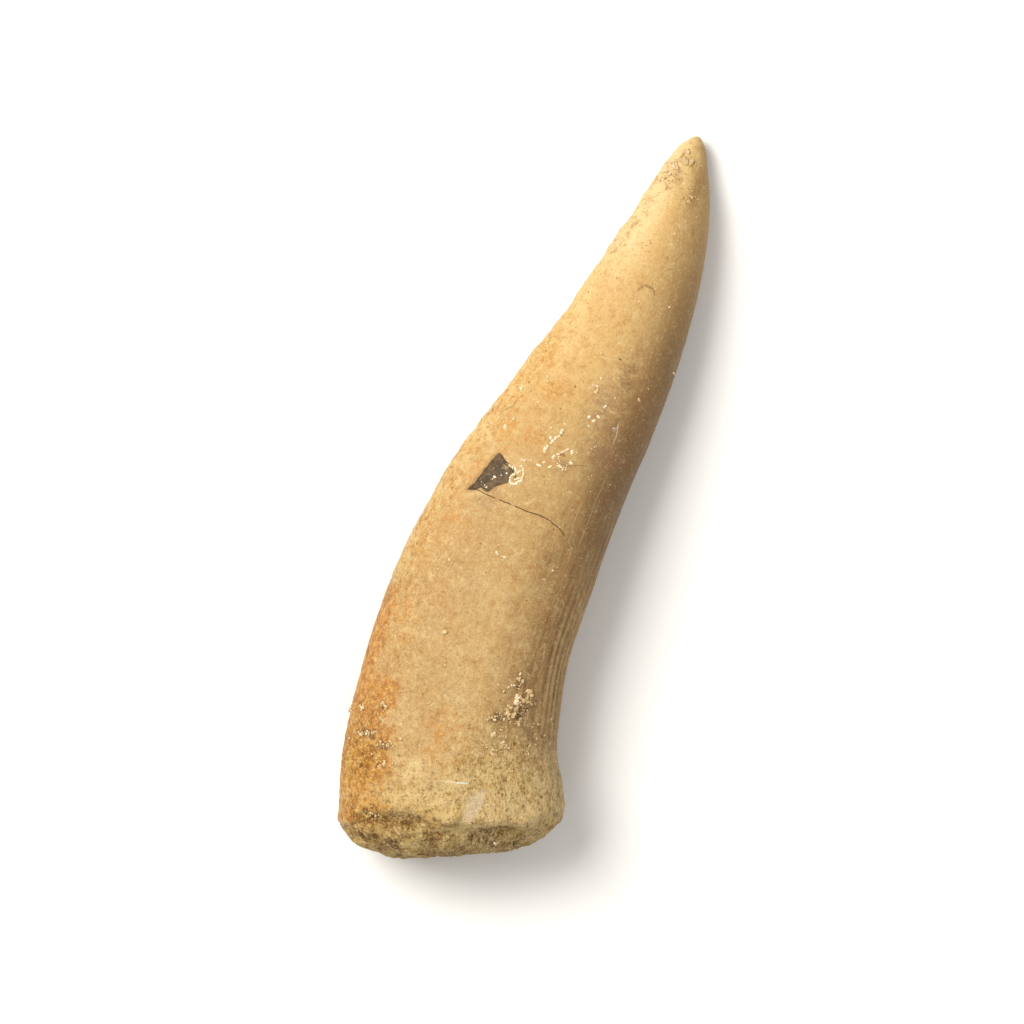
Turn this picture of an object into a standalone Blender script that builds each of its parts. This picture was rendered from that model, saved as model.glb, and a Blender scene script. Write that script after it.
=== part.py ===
"""A fossil fish fang that lies on its side: base towards -Y, tip towards +Y, hollow side towards +X.

The fang is one solid. Its surface is a grid of rings round a curved middle line, from the centre of
the base's end face to the tip. The rings are worked out in millimetres. The fine grid is thinned to
the faces that its relief needs, and its underside is cut level where it rests.
"""

import math

import bpy
import numpy as np

MM = 0.001

# Driving dimensions, in millimetres.
# The middle line seen from above, and what each section across it measures: how far along and how far
# aside its centre lies, half its width, its height above and below its widest level, and how far its
# underside clears the level that the fang rests on.
SECTIONS = np.array([
    # along, aside, half width, above, below, clearance
    [-0.2, -0.1, 7.4, 4.75, 4.35, -0.08],
    [3.0, -1.3, 7.4, 4.95, 4.45, -0.08],
    [6.6, -2.55, 6.95, 4.75, 4.25, 0.08],
    [9.8, -3.15, 6.7, 4.6, 4.15, 0.18],
    [14.1, -3.6, 6.4, 4.5, 4.05, 0.28],
    [19.7, -3.4, 6.15, 4.35, 3.95, 0.32],
    [25.4, -2.7, 5.65, 4.1, 3.7, 0.3],
    [30.2, -1.7, 5.0, 3.7, 3.3, 0.2],
    [35.1, -0.85, 4.2, 3.2, 2.9, 0.06],
    [40.7, -0.3, 3.3, 2.6, 2.35, -0.06],
    [45.7, -0.15, 2.1, 1.75, 1.6, -0.02],
    [48.1, -0.2, 1.35, 1.1, 1.0, 0.14],
    [50.0, -0.1, 0.75, 0.65, 0.6, 0.4],
])
BASE_ROUNDING = 3.4  # how far up the side the rounded end of the base reaches
OUTER_SQUARENESS = 2.4  # superellipse exponents of that rounding on the outer and the hollow side
HOLLOW_SQUARENESS = 2.0
DISH_DEPTH = 0.8  # of the worn hollow in the middle of the end face
DISH_SHARE = 0.5  # the hollow's size as a share of the end face
TIP_ROUNDING = 1.1
ROLL = 4.0  # degrees by which the outer side lies lower than the hollow side
TOP_ROUNDNESS = 2.1  # superellipse exponents of a section's upper and lower half
UNDERSIDE_ROUNDNESS = 2.7
KEEL_SHARPNESS = 0.25  # how much the worn cutting edge on the outer side lowers that exponent
SWELL_HEIGHT, SWELL_SIZE = 0.10, 6.0  # the smooth side's faint unevenness
EDGE_WEAR, EDGE_NICK = 0.16, 1.5  # depth and length of the nicks in the cutting edge near the tip

# The ledge where the smooth side ends and the rough base begins: the place across the section, from
# -1 on the outer side to 1 on the hollow side, and its distance from the base's end.
LEDGE_ABOVE = np.array([
    [-1.0, 3.85], [-0.9, 3.8], [-0.78, 3.3], [-0.65, 3.75], [-0.45, 3.6], [-0.27, 3.45], [-0.14, 2.85],
    [0.04, 1.9], [0.14, 1.7], [0.3, 2.0], [0.55, 2.2], [0.67, 2.8], [0.85, 3.05], [1.0, 3.2],
])
LEDGE_BELOW = np.array([
    [-1.0, 3.85], [-0.8, 3.2], [-0.6, 2.5], [-0.3, 2.8], [0.1, 2.1], [0.4, 2.7], [0.75, 2.3], [1.0, 3.2],
])
LEDGE_STEP = 0.45
LEDGE_WALL = 0.22  # length over which the surface drops below the ledge
LEDGE_HOLLOW = 1.3  # length over which it comes back out
LEDGE_FADING = 0.35  # the step's share that is left on the hollow side
ROUGH_RELIEF = 0.20  # height of the lumps on the broken base
ROUGH_LUMP = 1.3

# The fine ridges along the hollow side
RIDGE_PITCH = 0.42
RIDGE_HEIGHT = 0.10
RIDGE_SPAN = (4.0, 8.0, 17.0, 26.0)  # along the middle line: the start, full height, fading and the end
RIDGE_ARC = (-62.0, -50.0, 36.0, 50.0)  # the same round the section, in degrees from the hollow side

# The flake that is missing from the upper side, as (along, aside)
CHIP_OUTLINE = np.array([
    [26.1, -6.0], [25.75, -5.45], [25.4, -4.65], [24.8, -4.8], [24.45, -4.7], [23.9, -5.45],
    [23.4, -5.85], [23.55, -6.35], [23.25, -6.7], [23.1, -7.3], [24.0, -6.75], [25.1, -6.4],
])
CHIP_DEPTH = 0.28
CHIP_WALL = 0.10

# Crusts of sand cemented to the fang: along, aside, radius, height, and the side (1 above, -1 below)
CRUSTS = np.array([
    [11.1, 0.35, 0.85, 0.34, 1], [12.3, 0.35, 0.4, 0.3, 1], [10.1, -0.25, 0.6, 0.26, 1],
    [9.6, -0.9, 0.45, 0.22, 1], [25.2, -4.25, 0.5, 0.26, 1], [27.5, -3.2, 0.4, 0.2, 1],
    [28.2, -2.75, 0.45, 0.2, 1], [26.9, -1.55, 0.75, 0.16, 1], [48.2, -0.75, 0.6, 0.16, 1],
    [6.0, -7.75, 0.6, 0.22, 1], [8.2, -8.1, 0.5, 0.18, 1], [5.3, -6.05, 0.45, 0.18, 1],
    [13.85, -5.45, 0.28, 0.26, 1], [8.4, 2.2, 0.55, 0.2, -1], [17.5, -5.8, 0.7, 0.22, -1],
    [30.5, -1.0, 0.6, 0.18, -1], [12.0, -6.5, 0.5, 0.2, -1], [37.5, 0.9, 0.45, 0.16, -1],
])
CRUST_GRAIN = 0.5  # size of the lumps on a crust

# The grid, and how much of it is kept
COLUMNS = 320
BASE_ROWS, SIDE_ROWS, TIP_ROWS = 46, 270, 14
HOLLOW_SIDE_CROWDING = 0.40  # share by which columns draw together where the ridges are
KEPT_TRIANGLES = 9300
FLOOR_BLOCK = (40, 80, 10)  # the cutter under the fang

FOSSIL_COLOUR = (0.62, 0.44, 0.22, 1.0)
FOSSIL_ROUGHNESS = 0.55


def smooth_step(low, high, x):
    """0 at low, 1 at high, level beyond them, and an even curve between; low may be above high."""
    t = np.clip((x - low) / (high - low), 0, 1)
    return t * t * (3 - 2 * t)


def plateau(span, x):
    """0 outside a span's first and last value, 1 between its middle two."""
    start, full, fading, end = span
    return smooth_step(start, full, x) * smooth_step(end, fading, x)


def natural_spline(knots, values):
    """The natural cubic spline through values at knots, as a function that also gives its slope."""
    step = np.diff(knots)
    count = len(knots)
    system = np.eye(count)
    wanted = np.zeros_like(values)
    for i in range(1, count - 1):
        system[i, i - 1 : i + 2] = step[i - 1], 2 * (step[i - 1] + step[i]), step[i]
        wanted[i] = 6 * ((values[i + 1] - values[i]) / step[i] - (values[i] - values[i - 1]) / step[i - 1])
    bend = np.linalg.solve(system, wanted)

    def at(x):
        i = np.clip(np.searchsorted(knots, x) - 1, 0, count - 2)
        h = step[i][..., None]
        a = (knots[i + 1] - x)[..., None] / h
        b = 1 - a
        value = a * values[i] + b * values[i + 1]
        value = value + ((a**3 - a) * bend[i] + (b**3 - b) * bend[i + 1]) * h * h / 6
        slope = (values[i + 1] - values[i]) / h
        slope = slope + ((3 * b * b - 1) * bend[i + 1] - (3 * a * a - 1) * bend[i]) * h / 6
        return value, slope

    return at


def noise(points, size, seed):
    """Smooth noise from -1 to 1 in space, with lumps of about the given size."""
    place = points / size + seed * 17.3
    cell = np.floor(place).astype(np.int64)
    t = place - cell
    t = t * t * t * (t * (t * 6 - 15) + 10)
    total = np.zeros(points.shape[:-1])
    for corner in np.ndindex(2, 2, 2):
        x, y, z = np.moveaxis(cell + corner, -1, 0)
        mixed = x * 73856093 ^ y * 19349663 ^ z * 83492791
        mixed = (mixed ^ (mixed >> 13)) * 1274126177 & 0xFFFFFFFF
        weight = np.prod(np.where(corner, t, 1 - t), axis=-1)
        total += weight * ((mixed >> 8 & 0xFFFF) / 32768 - 1)
    return total


def distance_inside(outline, along, aside):
    """How far each place is inside a closed outline, negative where it is outside."""
    nearest = np.full(along.shape, np.inf)
    inside = np.zeros(along.shape, bool)
    for (a0, b0), (a1, b1) in zip(outline, np.roll(outline, -1, axis=0)):
        da, db = a1 - a0, b1 - b0
        t = np.clip(((along - a0) * da + (aside - b0) * db) / (da * da + db * db), 0, 1)
        nearest = np.minimum(nearest, np.hypot(along - a0 - t * da, aside - b0 - t * db))
        crosses = (b0 > aside) != (b1 > aside)
        inside ^= crosses & (along < a0 + (aside - b0) * da / db)
    return np.where(inside, nearest, -nearest)


MIDDLE_STEPS = np.hypot(*np.diff(SECTIONS[:, :2], axis=0).T)
MIDDLE_LENGTH = MIDDLE_STEPS.sum()
section_at = natural_spline(np.append(0, np.cumsum(MIDDLE_STEPS)), SECTIONS)


def ring_places():
    """For each ring and column: its place on the middle line, its share of the full section, its angle."""
    turn = np.linspace(0, 2 * math.pi, COLUMNS, endpoint=False)
    angle = turn - HOLLOW_SIDE_CROWDING * np.sin(turn)
    hollow_side = (1 + np.cos(angle)) / 2
    power = 2 / (OUTER_SQUARENESS + (HOLLOW_SQUARENESS - OUTER_SQUARENESS) * hollow_side)
    climb = np.linspace(0, math.pi / 2, BASE_ROWS)[1:, None]
    base_along = BASE_ROUNDING * (1 - np.cos(climb).clip(0) ** power)
    base_share = np.sin(climb) ** power
    side = np.linspace(BASE_ROUNDING, MIDDLE_LENGTH - TIP_ROUNDING, SIDE_ROWS)[1:, None]
    fall = np.linspace(0, math.pi / 2, TIP_ROWS)[1:-1, None]
    tip_along = MIDDLE_LENGTH - TIP_ROUNDING * (1 - np.sin(fall))
    every = np.ones(COLUMNS)
    along = np.vstack([base_along, side * every, tip_along * every])
    share = np.vstack([base_share, np.ones_like(side) * every, np.cos(fall) * every])
    return along, share, np.broadcast_to(angle, along.shape)


def fang_points(along, share, angle):
    """The bare shape's points, and how far across the section each lies, from -1 to 1."""
    section, slope = section_at(along)
    half, above, below, clearance = (section[..., k] for k in range(2, 6))
    cos, sin = np.cos(angle), np.sin(angle)
    height = np.where(sin > 0, above, below)
    roundness = TOP_ROUNDNESS + (UNDERSIDE_ROUNDNESS - TOP_ROUNDNESS) * smooth_step(0.1, -0.5, sin)
    roundness = roundness - KEEL_SHARPNESS * smooth_step(12, 30, along) * smooth_step(-0.5, -1.0, cos)
    reach = (np.abs(cos / half) ** roundness + np.abs(sin / height) ** roundness) ** (-1 / roundness)
    wide, up = share * reach * cos, share * reach * sin
    roll = math.radians(ROLL)
    across = wide * math.cos(roll) - up * math.sin(roll)
    z = below + clearance + up * math.cos(roll) + wide * math.sin(roll)
    sunk = DISH_DEPTH * np.clip(1 - (share / DISH_SHARE) ** 2, 0, 1) ** 2 * (along < BASE_ROUNDING)
    forward = slope[..., :2] / np.linalg.norm(slope[..., :2], axis=-1, keepdims=True)
    x = section[..., 1] + forward[..., 0] * across + forward[..., 1] * sunk
    y = section[..., 0] - forward[..., 1] * across + forward[..., 0] * sunk
    return np.stack([x, y, z], axis=-1), wide / half


def ledge_relief(points, along, place_across, angle):
    """The step down at the ledge, and the lumps on the broken base beyond it."""
    above = np.interp(place_across, *LEDGE_ABOVE.T)
    below = np.interp(place_across, *LEDGE_BELOW.T)
    ledge = np.where(np.sin(angle) > 0, above, below)
    past_ledge = ledge + 0.12 * noise(points, 0.9, 1) - along
    step = LEDGE_STEP * (LEDGE_FADING + (1 - LEDGE_FADING) * smooth_step(0.75, -0.1, place_across))
    hollow = np.exp(-past_ledge.clip(0) / LEDGE_HOLLOW) * smooth_step(0, LEDGE_WALL, past_ledge)
    lumps = noise(points, ROUGH_LUMP, 2) + 0.6 * noise(points, ROUGH_LUMP / 2, 3)
    return ROUGH_RELIEF * lumps * smooth_step(-0.2, 0.6, past_ledge) - step * hollow


def ridge_relief(points, along, angle):
    """The fine ridges along the hollow side."""
    arc = np.arctan2(np.sin(angle), np.cos(angle))
    girth = arc * 0.82 * section_at(along)[0][..., 2]
    wave = np.cos(2 * math.pi * girth / RIDGE_PITCH + 0.9 * noise(points, 5.0, 5))
    return RIDGE_HEIGHT / 2 * wave * plateau(RIDGE_ARC, np.degrees(arc)) * plateau(RIDGE_SPAN, along)


def crust_relief(points, upper):
    """The lumps of cemented sand."""
    lumpy = 0.75 + 0.5 * noise(points, CRUST_GRAIN, 7)
    total = np.zeros(points.shape[:-1])
    for along, aside, radius, height, side in CRUSTS:
        away = np.hypot(points[..., 1] - along, points[..., 0] - aside) / radius
        total += height * (upper == (side > 0)) * lumpy * smooth_step(1.15, 0.35, away)
    return total


def relief(points, along, place_across, angle, upper):
    """How far the surface stands out from the bare shape at each point."""
    swell = SWELL_HEIGHT * noise(points, SWELL_SIZE, 4) * smooth_step(1, 5, along)
    edge = smooth_step(-0.93, -1.0, place_across) * plateau((18, 34, 46, 50), along)
    inside_chip = distance_inside(CHIP_OUTLINE, points[..., 1], points[..., 0])
    chip = CHIP_DEPTH * upper * smooth_step(-CHIP_WALL / 2, CHIP_WALL / 2, inside_chip)
    return (
        swell - chip + EDGE_WEAR * edge * noise(points, EDGE_NICK, 6)
        + ledge_relief(points, along, place_across, angle)
        + ridge_relief(points, along, angle)
        + crust_relief(points, upper)
    )


def surface_normals(points):
    """Outward normals of the grid of rings."""
    base_end = np.broadcast_to(points[0].mean(axis=0), points[:1].shape)
    tip_end = np.broadcast_to(points[-1].mean(axis=0), points[:1].shape)
    padded = np.concatenate([base_end, points, tip_end])
    lengthwise = padded[2:] - padded[:-2]
    around = np.roll(points, -1, axis=1) - np.roll(points, 1, axis=1)
    normal = np.cross(lengthwise, around)
    return normal / np.linalg.norm(normal, axis=-1, keepdims=True)


def ring_faces(rings, columns):
    """Quads between neighbouring rings, and a fan at each end round the last two points."""
    base_end, tip_end = rings * columns, rings * columns + 1
    last_ring = (rings - 1) * columns
    faces = []
    for column in range(columns):
        following = (column + 1) % columns
        faces.append((base_end, following, column))
        faces.append((tip_end, last_ring + column, last_ring + following))
        for low in range(0, last_ring, columns):
            high = low + columns
            faces.append((low + column, low + following, high + following, high + column))
    return faces


def fang_mesh():
    """The fine mesh of the fang in metres, with the middle of its plan at the origin."""
    along, share, angle = ring_places()
    points, place_across = fang_points(along, share, angle)
    normals = surface_normals(points)
    upper = normals[..., 2] > 0
    points = points + normals * relief(points, along, place_across, angle, upper)[..., None]
    ends = [points[0].mean(axis=0), points[-1].mean(axis=0)]
    corners = np.concatenate([points.reshape(-1, 3), ends])
    middle = (corners.min(axis=0) + corners.max(axis=0)) / 2
    corners[:, :2] -= middle[:2]
    mesh = bpy.data.meshes.new("fang")
    mesh.from_pydata(corners * MM, [], ring_faces(*along.shape))
    mesh.update()
    return mesh


def fossil_material():
    material = bpy.data.materials.new("fossil_tooth")
    material.use_nodes = True
    shader = material.node_tree.nodes["Principled BSDF"]
    shader.inputs["Base Color"].default_value = FOSSIL_COLOUR
    shader.inputs["Roughness"].default_value = FOSSIL_ROUGHNESS
    shader.inputs["Metallic"].default_value = 0.0
    material.diffuse_color = FOSSIL_COLOUR
    return material


def floor_cutter():
    """A block whose top is the level that the fang rests on."""
    width, length, depth = (size * MM for size in FLOOR_BLOCK)
    corners = [(x * width / 2, y * length / 2, z) for x in (-1, 1) for y in (-1, 1) for z in (-depth, 0)]
    faces = [(0, 1, 3, 2), (4, 6, 7, 5), (0, 4, 5, 1), (2, 3, 7, 6), (0, 2, 6, 4), (1, 5, 7, 3)]
    mesh = bpy.data.meshes.new("floor_cutter")
    mesh.from_pydata(corners, [], faces)
    cutter = bpy.data.objects.new("floor_cutter", mesh)
    bpy.context.scene.collection.objects.link(cutter)
    cutter.hide_render = True
    cutter.display_type = "WIRE"
    return cutter


def build_fang():
    mesh = fang_mesh()
    mesh.materials.append(fossil_material())
    mesh.shade_smooth()
    fang = bpy.data.objects.new("tooth", mesh)
    bpy.context.scene.collection.objects.link(fang)
    triangles = sum(len(face.vertices) - 2 for face in mesh.polygons)
    thinning = fang.modifiers.new("thinning", "DECIMATE")
    thinning.ratio = KEPT_TRIANGLES / triangles
    resting = fang.modifiers.new("resting_faces", "BOOLEAN")
    resting.operation = "DIFFERENCE"
    resting.solver = "EXACT"
    resting.object = floor_cutter()


def main():
    for old in list(bpy.data.objects):
        bpy.data.objects.remove(old)
    build_fang()


main()
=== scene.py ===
"""The looks of a fossil fish fang: worn enamel, a rough broken base, a chip, a crack and cemented sand.

The fang lies on its side, base towards -Y and tip towards +Y. Places on it are in millimetres along it
from the base and aside of its straight axis, +aside towards the hollow side of its curve.
"""

import math

import bmesh
import bpy
import numpy as np
from mathutils import Matrix, Vector


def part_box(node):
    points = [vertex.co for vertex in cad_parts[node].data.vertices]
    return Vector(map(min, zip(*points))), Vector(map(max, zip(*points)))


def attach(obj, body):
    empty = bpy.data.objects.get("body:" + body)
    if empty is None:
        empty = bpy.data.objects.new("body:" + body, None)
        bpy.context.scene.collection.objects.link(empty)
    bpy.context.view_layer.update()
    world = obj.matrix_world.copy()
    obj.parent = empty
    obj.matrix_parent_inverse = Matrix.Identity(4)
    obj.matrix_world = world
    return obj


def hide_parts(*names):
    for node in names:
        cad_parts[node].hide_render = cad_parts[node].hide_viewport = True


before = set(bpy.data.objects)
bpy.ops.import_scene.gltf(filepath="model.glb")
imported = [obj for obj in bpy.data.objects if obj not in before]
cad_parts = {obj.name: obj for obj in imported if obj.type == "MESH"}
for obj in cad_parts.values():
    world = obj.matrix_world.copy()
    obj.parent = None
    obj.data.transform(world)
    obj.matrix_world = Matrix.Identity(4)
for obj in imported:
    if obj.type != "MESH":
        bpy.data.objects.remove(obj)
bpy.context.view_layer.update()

MM = 0.001

# The form, as the solid has it: each section's place along and aside, half width, height above and
# below its widest level, and clearance under it.
SECTIONS = np.array([
    [-0.2, -0.1, 7.4, 4.75, 4.35, -0.08],
    [3.0, -1.3, 7.4, 4.95, 4.45, -0.08],
    [6.6, -2.55, 6.95, 4.75, 4.25, 0.08],
    [9.8, -3.15, 6.7, 4.6, 4.15, 0.18],
    [14.1, -3.6, 6.4, 4.5, 4.05, 0.28],
    [19.7, -3.4, 6.15, 4.35, 3.95, 0.32],
    [25.4, -2.7, 5.65, 4.1, 3.7, 0.3],
    [30.2, -1.7, 5.0, 3.7, 3.3, 0.2],
    [35.1, -0.85, 4.2, 3.2, 2.9, 0.06],
    [40.7, -0.3, 3.3, 2.6, 2.35, -0.06],
    [45.7, -0.2, 2.1, 1.75, 1.6, -0.02],
    [48.1, -0.33, 1.3, 1.1, 1.0, 0.14],
    [50.0, -0.3, 0.55, 0.55, 0.5, 0.45],
])
BASE_ROUNDING = 3.4  # how far up the side the rounded end of the base reaches
OUTER_SQUARENESS = 2.4  # superellipse exponents of that rounding on the outer and the hollow side
HOLLOW_SQUARENESS = 2.0
DISH_DEPTH = 0.8  # of the worn hollow in the middle of the end face
DISH_SHARE = 0.5  # the hollow's size as a share of the end face
TIP_ROUNDING = 1.1
ROLL = 4.0  # degrees by which the outer side lies lower than the hollow side
TOP_ROUNDNESS = 2.1  # superellipse exponents of a section's upper and lower half
UNDERSIDE_ROUNDNESS = 2.7
KEEL_SHARPNESS = 0.25  # how much the worn cutting edge on the outer side lowers that exponent

# The ledge: the place across the section, from -1 outside to 1 on the hollow side, and along it
LEDGE_ABOVE = np.array([
    [-1.0, 2.75], [-0.88, 2.8], [-0.8, 3.2], [-0.72, 3.55], [-0.5, 3.6], [-0.32, 3.5], [-0.23, 3.3],
    [-0.15, 2.85], [-0.09, 2.5], [0.02, 2.35], [0.1, 2.0], [0.27, 1.9], [0.4, 2.25], [0.6, 2.4],
    [0.72, 2.6], [0.87, 3.05], [1.0, 3.3],
])
LEDGE_BELOW = np.array([
    [-1.0, 2.75], [-0.8, 3.2], [-0.6, 2.5], [-0.3, 2.8], [0.1, 2.1], [0.4, 2.7], [0.75, 2.3], [1.0, 3.3],
])
LEDGE_STEP = 0.30
LEDGE_WALL = 0.8  # length over which the surface drops below the ledge
LEDGE_HOLLOW = 1.4  # length over which it comes back out
LEDGE_FADING = 0.15  # the step's share that is left on the hollow side
LIP_HEIGHT, LIP_WIDTH = 0.09, 0.6  # the swollen rim just above the ledge
LOBE = (2.8, -1.5, 1.0, 0.30)  # the round flake on the ledge: along, aside, radius, height
ROUGH_RELIEF = 0.13  # height of the lumps on the broken base
ROUGH_LUMP = 1.1

# Dents in the broken base's upper side: along, aside, half length, half width, depth
DENTS = [
    (0.95, -6.3, 0.35, 0.45, 0.14), (0.95, -5.4, 0.45, 0.6, 0.18), (1.2, -3.6, 0.2, 0.45, 0.16),
    (-0.7, -6.2, 0.35, 0.3, 0.10), (-0.45, -5.4, 0.3, 0.3, 0.12), (-0.75, -4.5, 0.35, 0.5, 0.12),
    (2.05, -4.0, 0.2, 0.9, 0.06), (2.0, 3.45, 0.45, 0.12, 0.14), (1.7, 1.7, 0.7, 1.3, 0.15),
]

# Raised lines, and sunken ones with a height below 0: (along, aside) points, half width, height
FOLDS = [
    ([(2.4, -2.6), (2.1, -2.2), (1.9, -1.6), (1.95, -1.05), (2.15, -0.7)], 0.16, -0.22),
    ([(2.7, 0.0), (2.95, 0.7), (3.4, 2.3), (3.65, 3.3)], 0.42, 0.18),
    ([(3.65, 3.3), (4.3, 3.9), (5.0, 4.6)], 0.40, 0.14),
    ([(1.85, -0.2), (2.0, 0.4), (2.25, 1.3), (2.6, 2.2), (2.9, 2.9)], 0.52, -0.38),
]

# The fine ridges along the hollow side: their span along the middle line, as the start, full height,
# fading and the end, and their arc round the section, in degrees from the hollow side
RIDGE_PITCH = 0.42
RIDGE_HEIGHT = 0.11
RIDGE_SPAN = (6.0, 13.0, 17.0, 30.0)
RIDGE_ARC = (-62.0, -50.0, 22.0, 33.0)

CHIP_OUTLINE = np.array([
    [26.1, -6.0], [26.0, -5.7], [25.75, -5.45], [25.4, -4.65], [25.1, -4.6], [24.8, -4.8], [24.45, -4.7],
    [24.2, -5.05], [23.9, -5.45], [23.4, -5.8], [23.4, -6.0], [23.55, -6.35], [23.25, -6.7],
    [23.1, -7.3], [23.6, -6.95], [24.6, -6.6], [25.6, -6.25],
])
CHIP_DEPTH = 0.28
CHIP_WALL = 0.06
# The bright white specks in the chip, made as white sand: along, aside, radius
CHIP_GLINTS = [
    (24.47, -5.65, 0.17), (24.93, -4.98, 0.11), (23.89, -6.37, 0.10), (23.65, -5.96, 0.09),
    (25.48, -5.93, 0.07), (24.3, -5.75, 0.08), (23.75, -6.1, 0.06), (24.1, -6.5, 0.06), (25.0, -5.9, 0.05),
    (24.7, -5.3, 0.07),
]

# Fine lines on the upper side: (along, aside) points, half width, and shade from -1 dark to 1 pale.
# The crack comes first, in its separate stretches.
LINES = [
    ([(23.3, -6.75), (23.28, -6.3), (23.18, -5.85), (23.15, -5.1)], 0.012, -1.0),
    ([(23.14, -4.9), (23.11, -4.45), (23.13, -4.2), (23.1, -4.03)], 0.016, -1.0),
    ([(23.08, -3.86), (23.07, -3.4), (23.01, -2.93), (23.04, -2.5), (23.03, -2.07), (22.97, -1.6),
      (22.95, -1.25)], 0.016, -1.0),
    ([(22.93, -1.22), (22.8, -1.14), (22.69, -0.64), (22.52, -0.4), (22.4, -0.2), (22.25, -0.05)],
     0.014, -1.0),
    ([(22.1, 0.4), (21.95, 0.5), (21.75, 0.75)], 0.010, -0.8),
    ([(23.1, -6.0), (22.8, -6.15), (22.5, -6.25)], 0.012, -0.45),
    ([(29.75, -5.95), (29.25, -6.1), (28.65, -6.75)], 0.014, -0.6),
    ([(26.65, -1.5), (26.9, -0.9), (27.1, -0.2)], 0.02, -0.4),
    ([(34.45, -0.52), (34.4, -0.32)], 0.03, -0.9),
    ([(11.7, -3.35), (10.8, -3.75), (9.0, -4.95)], 0.02, -0.3),
    ([(2.2, 3.36), (1.86, 3.5)], 0.03, -0.9),
    ([(4.6, -2.3), (4.75, -1.9), (4.8, -1.6)], 0.03, 0.8),
    ([(4.78, -1.6), (4.85, -1.3), (5.0, -0.8)], 0.06, 1.0),
    ([(30.5, 0.85), (30.05, 0.92), (29.5, 1.0), (28.95, 0.96)], 0.022, 0.5),
    ([(30.05, 0.9), (29.97, 0.56)], 0.03, 0.8),
    ([(26.6, 1.25), (25.3, 1.1), (23.8, 1.05), (22.0, 1.0)], 0.012, 0.35),
    ([(24.0, 0.2), (21.4, 0.3)], 0.010, 0.35),
    ([(19.6, -0.9), (17.8, -1.0)], 0.010, 0.3),
    ([(15.9, 0.5), (13.9, 0.55)], 0.010, 0.3),
    ([(21.9, -6.6), (20.2, -7.1)], 0.012, 0.4),
    ([(19.4, -5.2), (19.9, -4.6)], 0.012, 0.4),
    ([(25.17, -5.35), (24.97, -5.0)], 0.015, 0.8),
]
LINE_REACH = 0.22

# What has a clear outline on the upper side: the chip, the thin pale film near the base, and the pale
# worn facet near the tip
OUTLINES = {
    "chip": CHIP_OUTLINE,
    "film": np.array([
        [2.5, -0.25], [3.3, -0.55], [4.15, -0.5], [4.5, -0.2], [4.95, 0.3], [4.6, 0.55], [4.1, 0.6],
        [3.1, 0.45], [2.6, 0.1],
    ]),
    "facet": np.array([
        [43.15, -2.15], [42.95, -2.0], [41.8, -2.1], [41.4, -2.2], [41.6, -2.4], [42.4, -2.4],
    ]),
}

# The round scar near the tip: along, aside, radius
SCAR = (39.0, -0.2, 0.56)

# Mounds of cemented sand: along, aside, radius, height, and the side (1 above, -1 below)
CRUSTS = np.array([
    [11.1, 0.95, 0.6, 0.14, 1], [12.3, 0.25, 0.4, 0.10, 1], [10.4, 0.5, 0.5, 0.14, 1],
    [9.7, -0.4, 0.4, 0.08, 1], [25.0, -4.3, 0.5, 0.06, 1], [27.6, -3.0, 0.3, 0.05, 1],
    [26.6, -1.9, 0.5, 0.04, 1], [48.3, -0.75, 0.6, 0.10, 1],
    [6.0, -7.9, 0.6, 0.10, 1], [8.0, -8.0, 0.4, 0.08, 1], [5.4, -6.3, 0.45, 0.10, 1],
    [8.4, 2.2, 0.55, 0.16, -1], [17.5, -5.8, 0.7, 0.16, -1],
    [30.5, -1.0, 0.6, 0.14, -1], [12.0, -6.5, 0.5, 0.16, -1], [37.5, 0.9, 0.45, 0.12, -1],
])
CRUST_GRAIN = 0.5

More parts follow.
